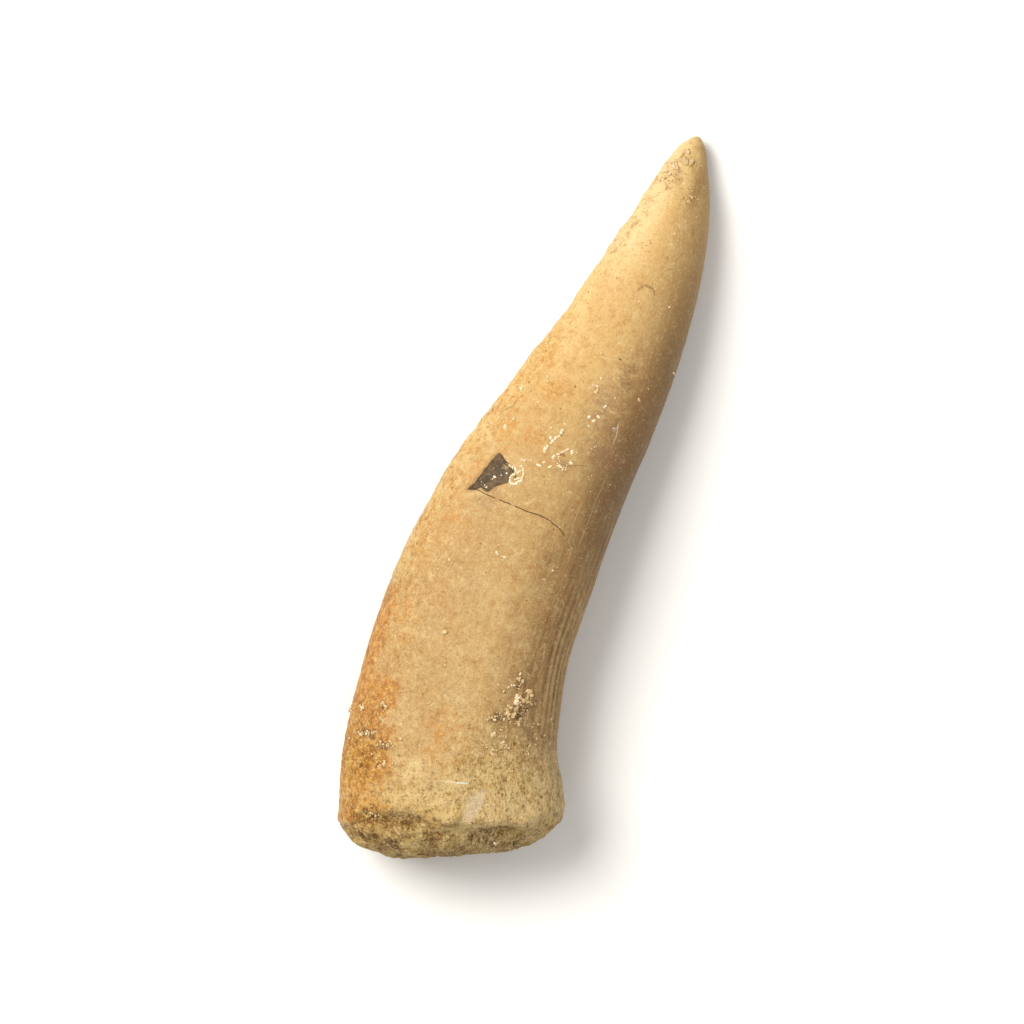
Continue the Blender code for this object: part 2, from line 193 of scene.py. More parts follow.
# Trails of grains on the upper side: (along, aside) points, how far grains stray, their number, sizes,
# and shades, from brown at 0 and below, through cream, to white past about 1
TRAILS = [
    # The cluster beside the ridges, and the grains below it
    ([(11.7, 1.0), (11.4, 1.25), (11.0, 1.25), (10.7, 1.1)], 0.16, 52, (0.12, 0.32), (-0.2, 0.85)),
    ([(11.5, 0.9), (11.1, 0.9), (10.7, 0.75), (10.3, 0.65), (10.0, 0.55)],
     0.18, 64, (0.12, 0.32), (-0.2, 0.9)),
    ([(12.85, 0.15), (12.5, 0.1), (12.3, 0.4), (12.0, 0.3), (11.85, 0.5)],
     0.05, 22, (0.10, 0.2), (0.5, 1.0)),
    ([(12.05, 0.05), (11.95, -0.2), (11.7, -0.35)], 0.03, 10, (0.09, 0.16), (0.8, 1.0)),
    ([(11.5, 0.45), (11.0, 0.45)], 0.05, 8, (0.12, 0.26), (0.9, 1.0)),
    ([(10.75, 0.2), (10.45, 0.0), (10.2, 0.1)], 0.06, 18, (0.09, 0.2), (0.4, 0.9)),
    ([(10.6, 0.85), (10.2, 0.5), (10.05, 0.25), (10.0, 0.0)], 0.08, 38, (0.09, 0.22), (0.2, 0.85)),
    ([(10.05, -0.55), (9.95, -0.2), (9.75, -0.05), (9.7, -0.5), (9.55, -0.8), (9.3, -1.05)],
     0.06, 54, (0.08, 0.18), (0.3, 0.85)),
    ([(10.4, 1.15), (9.9, 1.05), (9.6, 0.95)], 0.09, 26, (0.10, 0.22), (0.1, 0.8)),
    ([(9.6, 0.4), (9.35, -0.2)], 0.12, 14, (0.08, 0.14), (0.1, 0.6)),
    ([(8.9, 0.2), (6.6, 0.8)], 0.4, 30, (0.12, 0.32), (0.3, 0.9)),
    ([(10.4, 2.2), (7.0, 2.9)], 0.45, 26, (0.10, 0.26), (0.3, 0.9)),
    # On the ochre flank
    ([(8.2, -7.85), (7.85, -7.45)], 0.09, 20, (0.12, 0.26), (0.4, 0.95)),
    ([(7.7, -9.05), (7.2, -8.9)], 0.06, 12, (0.14, 0.30), (0.6, 1.0)),
    ([(7.35, -9.65), (6.7, -9.75)], 0.07, 16, (0.12, 0.28), (0.6, 1.0)),
    ([(7.25, -7.7), (6.9, -7.3)], 0.05, 12, (0.12, 0.24), (0.4, 0.9)),
    ([(5.8, -8.8), (5.75, -8.2), (6.25, -7.6)], 0.09, 54, (0.12, 0.28), (0.0, 0.95)),
    ([(5.45, -7.1), (5.6, -6.6), (5.8, -6.3)], 0.12, 44, (0.12, 0.28), (0.0, 0.9)),
    ([(4.6, -7.4), (4.4, -6.2)], 0.3, 14, (0.12, 0.26), (0.5, 1.0)),
    ([(1.25, -6.6), (1.0, -6.1), (0.8, -5.6)], 0.15, 16, (0.10, 0.24), (0.2, 0.9)),
    # The rings of cemented grains at the chip's corner
    ([(25.5, -5.02), (25.37, -4.75), (25.41, -4.52), (25.3, -4.42)],
     0.03, 34, (0.10, 0.18), (0.95, 1.0)),
    ([(25.58, -4.42), (25.71, -4.29), (25.56, -4.07), (25.23, -3.95), (24.76, -3.96), (24.5, -4.15),
      (24.38, -4.4)], 0.015, 64, (0.09, 0.14), (0.95, 1.0)),
    ([(24.38, -4.4), (24.49, -4.65), (24.79, -4.68), (25.05, -4.56)],
     0.03, 34, (0.10, 0.18), (0.95, 1.0)),
    ([(25.44, -4.16), (25.19, -4.35)], 0.015, 14, (0.09, 0.14), (0.95, 1.0)),
    ([(24.67, -4.43), (24.91, -4.15)], 0.012, 16, (0.09, 0.13), (0.95, 1.0)),
    ([(24.52, -4.26), (24.79, -4.02)], 0.012, 16, (0.08, 0.12), (0.95, 1.0)),
    # Above the chip
    ([(25.7, -5.15), (25.55, -5.1)], 0.05, 7, (0.07, 0.15), (0.8, 1.0)),
    ([(25.97, -4.4), (26.14, -4.22), (26.05, -4.1)], 0.04, 12, (0.09, 0.18), (0.6, 1.0)),
    ([(26.3, -3.95), (26.2, -3.7)], 0.05, 9, (0.09, 0.18), (0.6, 1.0)),
    ([(26.12, -3.35), (26.12, -3.12)], 0.02, 12, (0.09, 0.15), (0.9, 1.0)),
    ([(26.35, -3.02), (26.46, -2.9)], 0.02, 6, (0.09, 0.14), (0.9, 1.0)),
    ([(29.2, -2.5), (29.15, -2.25)], 0.02, 8, (0.09, 0.14), (0.8, 1.0)),
    ([(28.85, -2.42), (28.6, -2.5)], 0.03, 12, (0.10, 0.2), (0.8, 1.0)),
    ([(28.4, -2.55), (28.1, -2.75)], 0.02, 14, (0.10, 0.17), (0.9, 1.0)),
    ([(28.05, -3.0), (27.85, -2.82), (27.75, -2.95)], 0.03, 18, (0.10, 0.2), (0.9, 1.0)),
    ([(27.5, -3.05), (27.1, -3.2)], 0.04, 20, (0.10, 0.2), (0.8, 1.0)),
    ([(26.85, -2.5), (27.05, -2.42)], 0.03, 8, (0.09, 0.16), (0.9, 1.0)),
    ([(27.1, -2.35), (27.3, -2.16), (27.47, -1.97), (27.75, -1.71)],
     0.012, 34, (0.07, 0.11), (0.85, 1.0)),
    ([(27.68, -1.45), (27.55, -1.35)], 0.03, 8, (0.10, 0.18), (0.9, 1.0)),
    ([(27.3, -2.16), (26.95, -2.1), (26.72, -1.92), (26.6, -2.1)], 0.02, 20, (0.06, 0.10), (0.8, 1.0)),
    ([(26.5, -2.05), (26.52, -1.71), (26.3, -1.6)], 0.04, 24, (0.07, 0.13), (0.8, 1.0)),
    ([(26.7, -1.5), (26.46, -1.48), (26.3, -1.35)], 0.04, 10, (0.07, 0.12), (0.7, 1.0)),
    ([(26.98, -1.33), (26.9, -1.2)], 0.02, 8, (0.12, 0.2), (0.95, 1.0)),
    ([(26.2, -2.5), (26.35, -2.4)], 0.02, 6, (0.08, 0.14), (0.9, 1.0)),
    ([(30.2, -1.15), (30.1, -1.05)], 0.02, 7, (0.10, 0.18), (0.9, 1.0)),
    ([(30.0, -0.82), (30.1, -0.68)], 0.02, 9, (0.10, 0.16), (0.9, 1.0)),
    ([(30.35, -0.6), (30.38, -0.45)], 0.02, 7, (0.10, 0.16), (0.9, 1.0)),
    ([(31.05, -0.4), (31.25, -0.3)], 0.015, 10, (0.08, 0.14), (0.95, 1.0)),
    ([(32.3, -1.6), (32.25, -1.2), (31.9, -1.15), (31.8, -1.45)], 0.05, 20, (0.09, 0.18), (0.8, 1.0)),
    ([(28.3, -0.3), (28.5, -0.05)], 0.02, 8, (0.07, 0.11), (0.6, 0.9)),
    ([(28.3, -6.0), (28.6, -5.7)], 0.08, 11, (0.08, 0.18), (0.6, 1.0)),
    ([(27.9, -6.2), (27.7, -6.0)], 0.05, 7, (0.08, 0.2), (0.7, 1.0)),
    ([(34.75, 3.2), (34.6, 3.3)], 0.04, 7, (0.10, 0.18), (0.9, 1.0)),
    # Near the tip
    ([(48.75, -0.95), (48.85, -0.7), (48.7, -0.55)], 0.05, 10, (0.20, 0.34), (0.45, 0.9)),
    ([(48.4, -0.1), (48.05, -0.3)], 0.06, 10, (0.22, 0.38), (0.45, 0.9)),
    ([(48.25, -1.0), (48.2, -0.65), (48.3, -0.5), (48.05, -0.5)], 0.09, 18, (0.20, 0.36), (0.4, 0.9)),
    ([(47.9, -1.35), (47.7, -1.1), (47.4, -0.95)], 0.10, 14, (0.18, 0.32), (0.45, 0.9)),
    ([(47.3, -1.4), (46.8, -1.6), (46.4, -1.9)], 0.14, 14, (0.16, 0.30), (0.45, 0.9)),
    ([(46.1, 0.55), (45.7, 0.5), (45.9, 0.2)], 0.14, 14, (0.12, 0.24), (0.4, 0.75)),
    ([(42.0, -2.75), (41.4, -3.0), (41.0, -3.1)], 0.08, 16, (0.12, 0.24), (0.6, 0.9)),
    # Below the crack, and on the base
    ([(19.9, -4.05), (19.75, -3.75)], 0.03, 7, (0.07, 0.14), (0.9, 1.0)),
    ([(19.7, -3.5), (19.85, -3.3)], 0.03, 7, (0.07, 0.15), (0.9, 1.0)),
    ([(19.95, -0.15), (19.85, 0.1)], 0.05, 8, (0.08, 0.16), (0.3, 0.8)),
    ([(19.2, -0.6), (19.1, -0.3)], 0.05, 7, (0.07, 0.14), (0.5, 0.9)),
    ([(7.4, -0.1), (7.3, 0.3)], 0.05, 8, (0.09, 0.2), (0.6, 0.95)),
    ([(6.7, 0.25), (6.5, 0.5)], 0.05, 8, (0.08, 0.18), (0.3, 0.9)),
    ([(1.75, 1.2), (1.8, 1.35)], 0.04, 7, (0.10, 0.22), (0.5, 0.8)),
    ([(1.85, 2.1), (1.8, 2.25)], 0.03, 6, (0.12, 0.22), (0.8, 1.0)),
    ([(1.4, 2.0), (1.35, 2.1)], 0.03, 5, (0.10, 0.2), (0.4, 0.7)),
    ([(1.65, 3.3), (1.9, 3.65)], 0.05, 8, (0.10, 0.2), (0.4, 0.8)),
    ([(4.05, 0.78), (4.15, 0.98)], 0.05, 14, (0.12, 0.22), (0.6, 0.85)),
    ([(2.6, 0.1), (2.75, 0.3)], 0.06, 10, (0.10, 0.18), (0.6, 0.85)),
    ([(3.0, -3.4), (3.25, -2.95)], 0.1, 9, (0.10, 0.2), (0.5, 0.75)),
    ([(3.4, -2.1), (3.4, -1.2)], 0.12, 16, (0.10, 0.2), (0.5, 0.75)),
]
UNDERSIDE_TRAILS = [
    ([(8.6, 1.9), (8.2, 2.5)], 0.25, 50, (0.10, 0.26), (0.3, 1.0)),
    ([(17.9, -6.2), (17.1, -5.5)], 0.28, 60, (0.10, 0.26), (0.3, 1.0)),
    ([(30.9, -1.3), (30.1, -0.7)], 0.22, 44, (0.09, 0.22), (0.4, 1.0)),
    ([(12.3, -6.9), (11.7, -6.1)], 0.20, 36, (0.10, 0.24), (0.3, 1.0)),
    ([(37.8, 0.6), (37.2, 1.2)], 0.18, 28, (0.09, 0.2), (0.4, 1.0)),
]

# Single grains of sand on the upper side: along, aside, diameter
BEADS = [
    (11.93, 1.04, 0.5), (11.75, 1.22, 0.36), (11.45, 0.37, 0.32), (11.0, 0.47, 0.42), (12.85, 0.1, 0.24),
    (12.45, 0.42, 0.26), (11.25, 1.2, 0.22), (11.0, 0.87, 0.3), (10.55, 0.25, 0.24), (10.15, 0.12, 0.24),
    (10.25, 0.57, 0.36), (10.1, 1.1, 0.2), (9.7, 1.07, 0.2), (9.35, -0.94, 0.2), (9.47, -0.5, 0.24),
    (9.72, 0.05, 0.18), (11.7, -1.0, 0.24), (11.4, -0.55, 0.26), (12.77, -1.35, 0.1), (13.35, -0.55, 0.1),
    (9.95, -0.9, 0.12), (11.5, 1.93, 0.2), (13.85, -5.45, 0.38), (11.8, -4.7, 0.18), (8.5, -0.3, 0.3),
    (8.3, 0.5, 0.24), (8.2, 1.85, 0.2), (9.55, 2.9, 0.2), (7.3, 0.1, 0.28), (7.6, -0.4, 0.22),
    (4.4, -6.4, 0.3), (4.7, -5.7, 0.2), (4.0, -7.9, 0.18), (5.2, -9.1, 0.26), (17.6, -7.2, 0.18),
    (18.4, -6.7, 0.16), (22.6, -2.8, 0.13),
    (43.35, 0.33, 0.28), (41.5, 0.3, 0.16), (42.5, 0.57, 0.17), (41.2, -1.8, 0.16), (40.3, -0.5, 0.15),
    (39.6, -1.7, 0.3), (39.5, 0.3, 0.2), (38.7, 1.5, 0.2), (37.3, -0.5, 0.22), (37.4, -0.7, 0.16),
    (38.4, -0.5, 0.18), (38.7, -0.8, 0.15), (36.2, -3.0, 0.18), (46.75, 0.2, 0.16), (46.45, 0.45, 0.18),
    (45.6, 0.14, 0.15), (46.05, 1.0, 0.16), (46.65, 1.25, 0.14), (44.9, 1.3, 0.14), (44.3, 0.7, 0.14),
    (48.2, 0.5, 0.14), (43.6, -2.5, 0.2), (34.4, -1.7, 0.28), (31.8, -4.5, 0.3), (31.5, -4.4, 0.16),
    (30.5, -5.9, 0.28), (31.0, -3.9, 0.14), (30.0, -4.6, 0.16), (30.4, -3.8, 0.15), (33.9, -2.4, 0.15),
    (35.4, -0.8, 0.15), (35.2, 0.1, 0.13), (32.8, -1.2, 0.22), (33.2, -0.1, 0.16), (33.0, -0.8, 0.13),
    (31.9, -1.2, 0.28), (31.9, 0.1, 0.16), (32.3, 1.6, 0.28), (30.8, -0.4, 0.14), (29.6, -0.9, 0.2),
    (19.9, -0.1, 0.18), (28.7, -3.2, 0.2), (27.5, -2.5, 0.15), (27.75, -1.4, 0.16), (27.7, -1.1, 0.22),
    (27.0, -1.26, 0.26), (26.2, -2.27, 0.12), (26.7, -1.45, 0.13), (26.3, 0.2, 0.11), (26.6, 0.3, 0.11),
    (6.3, -5.9, 0.2), (6.1, -5.7, 0.18),
]

# Pits on the upper side: along, aside, radius
PITS = [
    (48.55, -0.78, 0.13), (48.2, -0.05, 0.1), (48.1, -1.24, 0.12), (46.0, -1.45, 0.14),
    (46.9, -0.82, 0.1), (46.95, -1.35, 0.08), (46.45, -1.95, 0.1), (47.1, -1.65, 0.1),
    (44.7, -2.25, 0.14), (44.4, -2.2, 0.09), (44.0, -1.4, 0.09), (41.65, -2.6, 0.14),
    (41.05, -3.05, 0.13), (41.3, -2.35, 0.12), (40.0, -3.0, 0.1), (40.4, -2.0, 0.1),
    (39.4, -2.0, 0.11), (31.1, -5.6, 0.16), (31.1, -3.2, 0.12), (33.0, -2.1, 0.1),
    (8.4, 1.3, 0.2), (9.4, 2.8, 0.2), (10.55, 3.15, 0.13), (5.3, -5.5, 0.14), (10.0, -4.2, 0.11),
    (4.6, -4.4, 0.15), (26.3, -6.3, 0.11), (15.2, -6.9, 0.1), (11.0, -6.4, 0.1),
]
SCATTERED_PITS = 120
SCATTERED_GRAINS = 420
SCATTER_SPAN = (2, 49)  # where along the fang they lie
GRAIN_FLATNESS = 0.4  # by how much grains are pressed flat against the surface
GRAIN_SINKING = (-0.15, 0.25)  # how far their middles lie above the surface, in radii
DARK_RIMMED_GRAIN_SIZE = 0.15  # of the smallest grains with painted shadow and dirt round them
SEAT_REACH = 0.12  # how far the nearest point of the surface may be from a grain's place
PIT_STEEPNESS, PIT_FLOOR = 0.9, 0.16  # how fast a pit sinks from its outline, and how far inside it ends
SCAR_DEPTH = 0.03
CRUMB_HEIGHT = 0.10
RANDOM_START = 7

# Stains, and the places where dark dirt and painted shade gather: along, aside, half length, half width.
# The first three kinds wrap round to the underside. Of the brown and mauve patches, those on the broken
# base are partly painted shade; the pale ones at the tip and along its outer edge are partly a painted
# highlight.
STAINS = {
    "ochre": [
        (4.2, -8.1, 3.2, 2.6), (7.4, -9.0, 3.0, 2.0), (8.5, -8.1, 1.6, 1.3), (11.0, -9.8, 3.2, 1.0),
        (14.0, -9.7, 2.5, 0.7), (9.2, -7.4, 0.6, 0.35), (0.9, -6.6, 1.6, 2.0),
    ],
    "amber": [
        (19.5, -8.8, 2.6, 1.0), (24.6, -7.5, 3.0, 1.2), (28.5, -6.0, 2.6, 1.2), (32.8, -4.8, 2.4, 1.0),
        (31.4, -3.9, 1.4, 1.2), (20.5, -7.4, 1.6, 1.0), (28.0, -4.2, 1.2, 1.0), (23.0, -8.2, 2.0, 1.0),
        (7.6, -3.3, 1.8, 1.5), (6.2, -3.8, 0.9, 0.8), (6.2, -2.2, 1.4, 1.4), (13.6, -8.4, 2.4, 1.1),
    ],
    "olive": [(5.4, 1.5, 3.0, 4.0), (2.0, -1.0, 2.2, 6.0), (3.4, 4.4, 2.8, 3.6)],
    # Brown stains; those on the broken base are partly painted shade below the ledge and the crest
    "brown": [
        (20.1, -0.5, 1.5, 0.8), (30.0, 1.6, 5.5, 1.6), (29.0, 2.6, 6.5, 1.4), (24.0, 1.6, 4.5, 1.4),
        (46.3, 0.7, 1.6, 0.4), (9.1, -7.5, 0.45, 0.25), (11.0, 0.9, 1.9, 0.9), (9.7, -0.3, 0.6, 0.9),
        (17.0, 1.2, 5.0, 1.2), (33.6, 0.6, 2.0, 0.9), (27.8, 0.7, 1.6, 1.0), (29.8, 0.8, 2.2, 1.0),
        (1.75, -3.6, 0.4, 0.9), (0.1, -0.7, 0.35, 1.2), (1.9, 1.7, 0.8, 1.3), (2.0, 0.3, 0.5, 0.9),
        (11.9, 0.5, 2.4, 1.2), (0.9, -5.6, 0.8, 1.8), (-0.4, -4.1, 0.5, 0.8), (2.2, 3.5, 0.5, 0.8),
        (24.5, 2.2, 5.0, 1.2), (-0.1, 2.6, 0.5, 0.9),
    ],
    # Mauve-grey stains; those on the broken base are partly painted shade below the ledge and the crest
    "mauve": [
        (1.45, -4.65, 0.3, 0.45), (1.7, 1.9, 0.7, 0.9), (3.35, 4.6, 0.4, 0.4), (9.6, 1.9, 1.6, 0.8),
        (26.5, -1.8, 0.7, 0.7), (30.3, -0.4, 3.0, 1.3), (23.3, -6.0, 1.6, 1.4), (28.2, 0.6, 2.2, 1.3),
        (11.2, 1.0, 1.3, 0.9),
    ],
    # Pale patches; those at the tip and along its outer edge are partly a painted highlight
    "pale": [
        (48.2, -0.8, 3.2, 1.5), (43.6, -2.2, 3.6, 1.0), (36.5, -4.0, 4.0, 0.7), (3.0, -3.6, 0.6, 2.4),
        (4.4, 3.2, 1.4, 3.0), (3.5, -1.9, 0.9, 1.2), (5.5, 4.4, 1.1, 1.2), (27.0, -7.2, 0.8, 0.5),
        (24.0, -7.9, 0.8, 0.5), (2.3, -0.9, 0.6, 1.3), (3.3, 1.8, 0.3, 1.6), (4.7, -4.6, 1.2, 1.3),
        (4.8, -1.6, 1.2, 1.8), (4.6, 5.0, 2.0, 1.6), (0.2, -2.4, 0.5, 0.9), (6.2, 3.8, 1.6, 1.2),
    ],
    # Where dark dirt and painted shade gather: the base's dents and hollows, and round the grain clusters
    "dirt": [
        (0.95, -6.3, 0.55, 0.9), (0.85, -5.3, 0.35, 0.5), (1.2, -3.6, 0.2, 0.45), (-0.7, -6.2, 0.4, 0.4),
        (-0.45, -5.4, 0.3, 0.3), (-0.5, -4.3, 0.45, 0.9), (2.1, -2.1, 0.2, 0.3), (1.5, 2.0, 0.4, 0.6),
        (1.95, -1.3, 0.12, 0.4), (2.3, 1.2, 0.25, 0.6), (2.7, 2.1, 0.3, 0.6), (3.0, 2.6, 0.2, 0.4),
        (11.1, 0.95, 0.8, 0.5), (10.3, 0.75, 0.5, 0.6), (9.75, -0.35, 0.3, 0.6), (12.2, 0.2, 0.5, 0.25),
        (9.35, -0.6, 0.15, 0.4), (6.0, -8.1, 0.25, 0.6), (5.8, -7.6, 0.25, 0.35), (5.45, -6.65, 0.25, 0.5),
        (5.25, -5.65, 0.12, 0.14), (24.8, -4.4, 0.35, 0.2), (27.25, -1.95, 0.15, 0.3),
    ],
    "chip_tan": [(25.3, -5.3, 0.35, 0.4)],
}
WRAPPING_STAINS = ("ochre", "amber", "olive")

# The surface grid: rows between the rounded base and the tip, as (where they end, how many)
ROWS = [(6.2, 32), (22.6, 110), (27.6, 56), (None, 145)]
BASE_ROWS, TIP_ROWS = 50, 13
COLUMNS = 244

# How much darker the fang's own colours are than they look under the light
SEEN_TO_PAINT = 0.66
# Two colours that are brighter than any that srgb gives: the pale tip with its painted highlight, and white
# sand
TIP_HIGHLIGHT_ENAMEL = (0.88, 0.66, 0.36, 1.0)
WHITE_SAND = (0.96, 0.86, 0.64, 1.0)

# The photograph: how much of the fang's widest level it spans, where its middle lies as (along,
# aside), how far the fang's axis leans in it, and the camera's distance
PHOTO_SPAN = 67.1
PHOTO_MIDDLE = (22.66, -3.85)
PHOTO_LEAN = 19.0
CAMERA_DISTANCE = 900
SENSOR_WIDTH = 36
WIDEST_LEVEL = 4.5
FLOOR_REACH = 2  # metres


def srgb(red, green, blue):
    """A colour as the fang shows it in middle light, 0 to 255, as the linear one of its surface."""
    share = np.array([red, green, blue]) / 255
    linear = np.where(share <= 0.04045, share / 12.92, ((share + 0.055) / 1.055) ** 2.4)
    return (*(linear * SEEN_TO_PAINT).tolist(), 1.0)


def smooth_step(low, high, x):
    """0 at low, 1 at high, level beyond them, and an even curve between; low may be above high."""
    t = np.clip((x - low) / (high - low), 0, 1)
    return t * t * (3 - 2 * t)


def plateau(span, x):
    """0 outside a span's first and last value, 1 between its middle two."""
    start, full, fading, end = span
    return smooth_step(start, full, x) * smooth_step(end, fading, x)


def natural_spline(knots, values):
    """The natural cubic spline through values at knots, as a function that also gives its slope."""
    step = np.diff(knots)
    count = len(knots)
    system = np.eye(count)
    wanted = np.zeros_like(values)
    for i in range(1, count - 1):
        system[i, i - 1 : i + 2] = step[i - 1], 2 * (step[i - 1] + step[i]), step[i]
        wanted[i] = 6 * ((values[i + 1] - values[i]) / step[i] - (values[i] - values[i - 1]) / step[i - 1])
    bend = np.linalg.solve(system, wanted)

    def at(x):
        i = np.clip(np.searchsorted(knots, x) - 1, 0, count - 2)
        h = step[i][..., None]
        a = (knots[i + 1] - x)[..., None] / h
        b = 1 - a
        value = a * values[i] + b * values[i + 1]
        value = value + ((a**3 - a) * bend[i] + (b**3 - b) * bend[i + 1]) * h * h / 6
        slope = (values[i + 1] - values[i]) / h
        slope = slope + ((3 * b * b - 1) * bend[i + 1] - (3 * a * a - 1) * bend[i]) * h / 6
        return value, slope

    return at


def noise(points, size, seed):
    """Smooth noise from -1 to 1 in space, with lumps of about the given size."""
    place = points / size + seed * 17.3
    cell = np.floor(place).astype(np.int64)
    t = place - cell
    t = t * t * t * (t * (t * 6 - 15) + 10)
    total = np.zeros(points.shape[:-1])
    for corner in np.ndindex(2, 2, 2):
        x, y, z = np.moveaxis(cell + corner, -1, 0)
        mixed = x * 73856093 ^ y * 19349663 ^ z * 83492791
        mixed = (mixed ^ (mixed >> 13)) * 1274126177 & 0xFFFFFFFF
        weight = np.prod(np.where(corner, t, 1 - t), axis=-1)
        total += weight * ((mixed >> 8 & 0xFFFF) / 32768 - 1)
    return total


def segment_distance(start, end, along, aside):
    """How far each place is from the straight line between two points."""
    (a0, b0), (a1, b1) = start, end
    da, db = a1 - a0, b1 - b0
    t = np.clip(((along - a0) * da + (aside - b0) * db) / (da * da + db * db), 0, 1)
    return np.hypot(along - a0 - t * da, aside - b0 - t * db)


def route_distance(route, along, aside):
    """How far each place is from a line through the route's points."""
    distances = [segment_distance(start, end, along, aside) for start, end in zip(route, route[1:])]
    return np.min(distances, axis=0)


def distance_inside(outline, along, aside):
    """How far each place is inside a closed outline, negative where it is outside."""
    nearest = route_distance(np.append(outline, outline[:1], axis=0), along, aside)
    inside = np.zeros(along.shape, bool)
    for (a0, b0), (a1, b1) in zip(outline, np.roll(outline, -1, axis=0)):
        crosses = (b0 > aside) != (b1 > aside)
        inside ^= crosses & (along < a0 + (aside - b0) * (a1 - a0) / (b1 - b0 or 1))
    return np.where(inside, nearest, -nearest)


MIDDLE_STEPS = np.hypot(*np.diff(SECTIONS[:, :2], axis=0).T)
MIDDLE_LENGTH = MIDDLE_STEPS.sum()
section_at = natural_spline(np.append(0, np.cumsum(MIDDLE_STEPS)), SECTIONS)


def column_angles():
    """Angles round the section, closest together on the upper side and where the ridges are."""
    turn = np.linspace(0, 2 * math.pi, 2001)
    degrees = np.degrees(np.arctan2(np.sin(turn), np.cos(turn)))
    crowding = 1 + 1.5 * smooth_step(-0.25, 0.1, np.sin(turn)) + 1.2 * plateau((-70, -50, 40, 60), degrees)
    filled = np.append(0, np.cumsum((crowding[1:] + crowding[:-1]) / 2))
    return np.interp(np.arange(COLUMNS) / COLUMNS, filled / filled[-1], turn)


def ring_places():
    """For each ring and column: its place on the middle line, its share of the full section, its angle."""
    angle = column_angles()
    hollow_side = (1 + np.cos(angle)) / 2
    power = 2 / (OUTER_SQUARENESS + (HOLLOW_SQUARENESS - OUTER_SQUARENESS) * hollow_side)
    climb = np.linspace(0, math.pi / 2, BASE_ROWS)[1:, None]
    base_along = BASE_ROUNDING * (1 - np.cos(climb).clip(0) ** power)
    base_share = np.sin(climb) ** power
    stretches = []
    start = BASE_ROUNDING
    for end, count in ROWS:
        end = end or MIDDLE_LENGTH - TIP_ROUNDING
        stretches.append(np.linspace(start, end, count + 1)[1:])
        start = end
    side = np.concatenate(stretches)[:, None]
    fall = np.linspace(0, math.pi / 2, TIP_ROWS)[1:-1, None]
    tip_along = MIDDLE_LENGTH - TIP_ROUNDING * (1 - np.sin(fall))
    every = np.ones(COLUMNS)
    along = np.vstack([base_along, side * every, tip_along * every])
    share = np.vstack([base_share, np.ones_like(side) * every, np.cos(fall) * every])
    return along, share, np.broadcast_to(angle, along.shape)


def fang_points(along, share, angle):
    """The bare shape's points, and how far across the section each lies, from -1 to 1."""
    section, slope = section_at(along)
    half, above, below, clearance = (section[..., k] for k in range(2, 6))
    cos, sin = np.cos(angle), np.sin(angle)
    height = np.where(sin > 0, above, below)
    roundness = TOP_ROUNDNESS + (UNDERSIDE_ROUNDNESS - TOP_ROUNDNESS) * smooth_step(0.1, -0.5, sin)
    roundness = roundness - KEEL_SHARPNESS * smooth_step(12, 30, along) * smooth_step(-0.5, -1.0, cos)
    reach = (np.abs(cos / half) ** roundness + np.abs(sin / height) ** roundness) ** (-1 / roundness)
    wide, up = share * reach * cos, share * reach * sin
    roll = math.radians(ROLL)
    across = wide * math.cos(roll) - up * math.sin(roll)
    z = below + clearance + up * math.cos(roll) + wide * math.sin(roll)
    sunk = DISH_DEPTH * np.clip(1 - (share / DISH_SHARE) ** 2, 0, 1) ** 2 * (along < BASE_ROUNDING)
    forward = slope[..., :2] / np.linalg.norm(slope[..., :2], axis=-1, keepdims=True)
    x = section[..., 1] + forward[..., 0] * across + forward[..., 1] * sunk
    y = section[..., 0] - forward[..., 1] * across + forward[..., 0] * sunk
    return np.stack([x, y, z], axis=-1), wide / half


def surface_normals(points):
    """Outward normals of the grid of rings."""
    base_end = np.broadcast_to(points[0].mean(axis=0), points[:1].shape)
    tip_end = np.broadcast_to(points[-1].mean(axis=0), points[:1].shape)
    padded = np.concatenate([base_end, points, tip_end])
    lengthwise = padded[2:] - padded[:-2]
    around = np.roll(points, -1, axis=1) - np.roll(points, 1, axis=1)
    normal = np.cross(lengthwise, around)
    return normal / np.linalg.norm(normal, axis=-1, keepdims=True)


def stain(patches, along, aside):
    """1 in the middle of each patch of a stain, fading to 0 outside them."""
    total = np.zeros(along.shape)
    for middle_along, middle_aside, half_length, half_width in patches:
        away = np.hypot((along - middle_along) / half_length, (aside - middle_aside) / half_width)
        total = np.maximum(total, smooth_step(1.35, 0.1, away))
    return total


def pit_places(rng):
    """The named pits and many small ones, mostly near the base and the worn edge: along, aside, radius."""
    places = list(PITS)
    while len(places) < len(PITS) + SCATTERED_PITS:
        along, across = rng.uniform(*SCATTER_SPAN), rng.uniform(-0.97, 0.97)
        near_edge = smooth_step(30, 44, along) * smooth_step(-0.3, -0.8, across)
        if rng.random() < 0.22 + 0.8 * smooth_step(10, 3, along) + 0.6 * near_edge:
            section, _ = section_at(np.array(along))
            places.append((along, section[1] + across * section[2], rng.uniform(0.05, 0.12)))
    return np.array(places)


def inside_pits(points, along, pits):
    """How far inside the uneven outline of the nearest pit each point is, negative where it is outside."""
    place_along = points[..., 1] + 0.05 * noise(points, 0.22, 21)
    place_aside = points[..., 0] + 0.05 * noise(points, 0.22, 22)
    inside = np.full(along.shape, -0.3)
    for pit_along, pit_aside, radius in pits:
        rows = np.abs(along[:, 0] - pit_along) < 5
        away = np.hypot(place_along[rows] - pit_along, place_aside[rows] - pit_aside)
        inside[rows] = np.maximum(inside[rows], radius - away)
    return inside


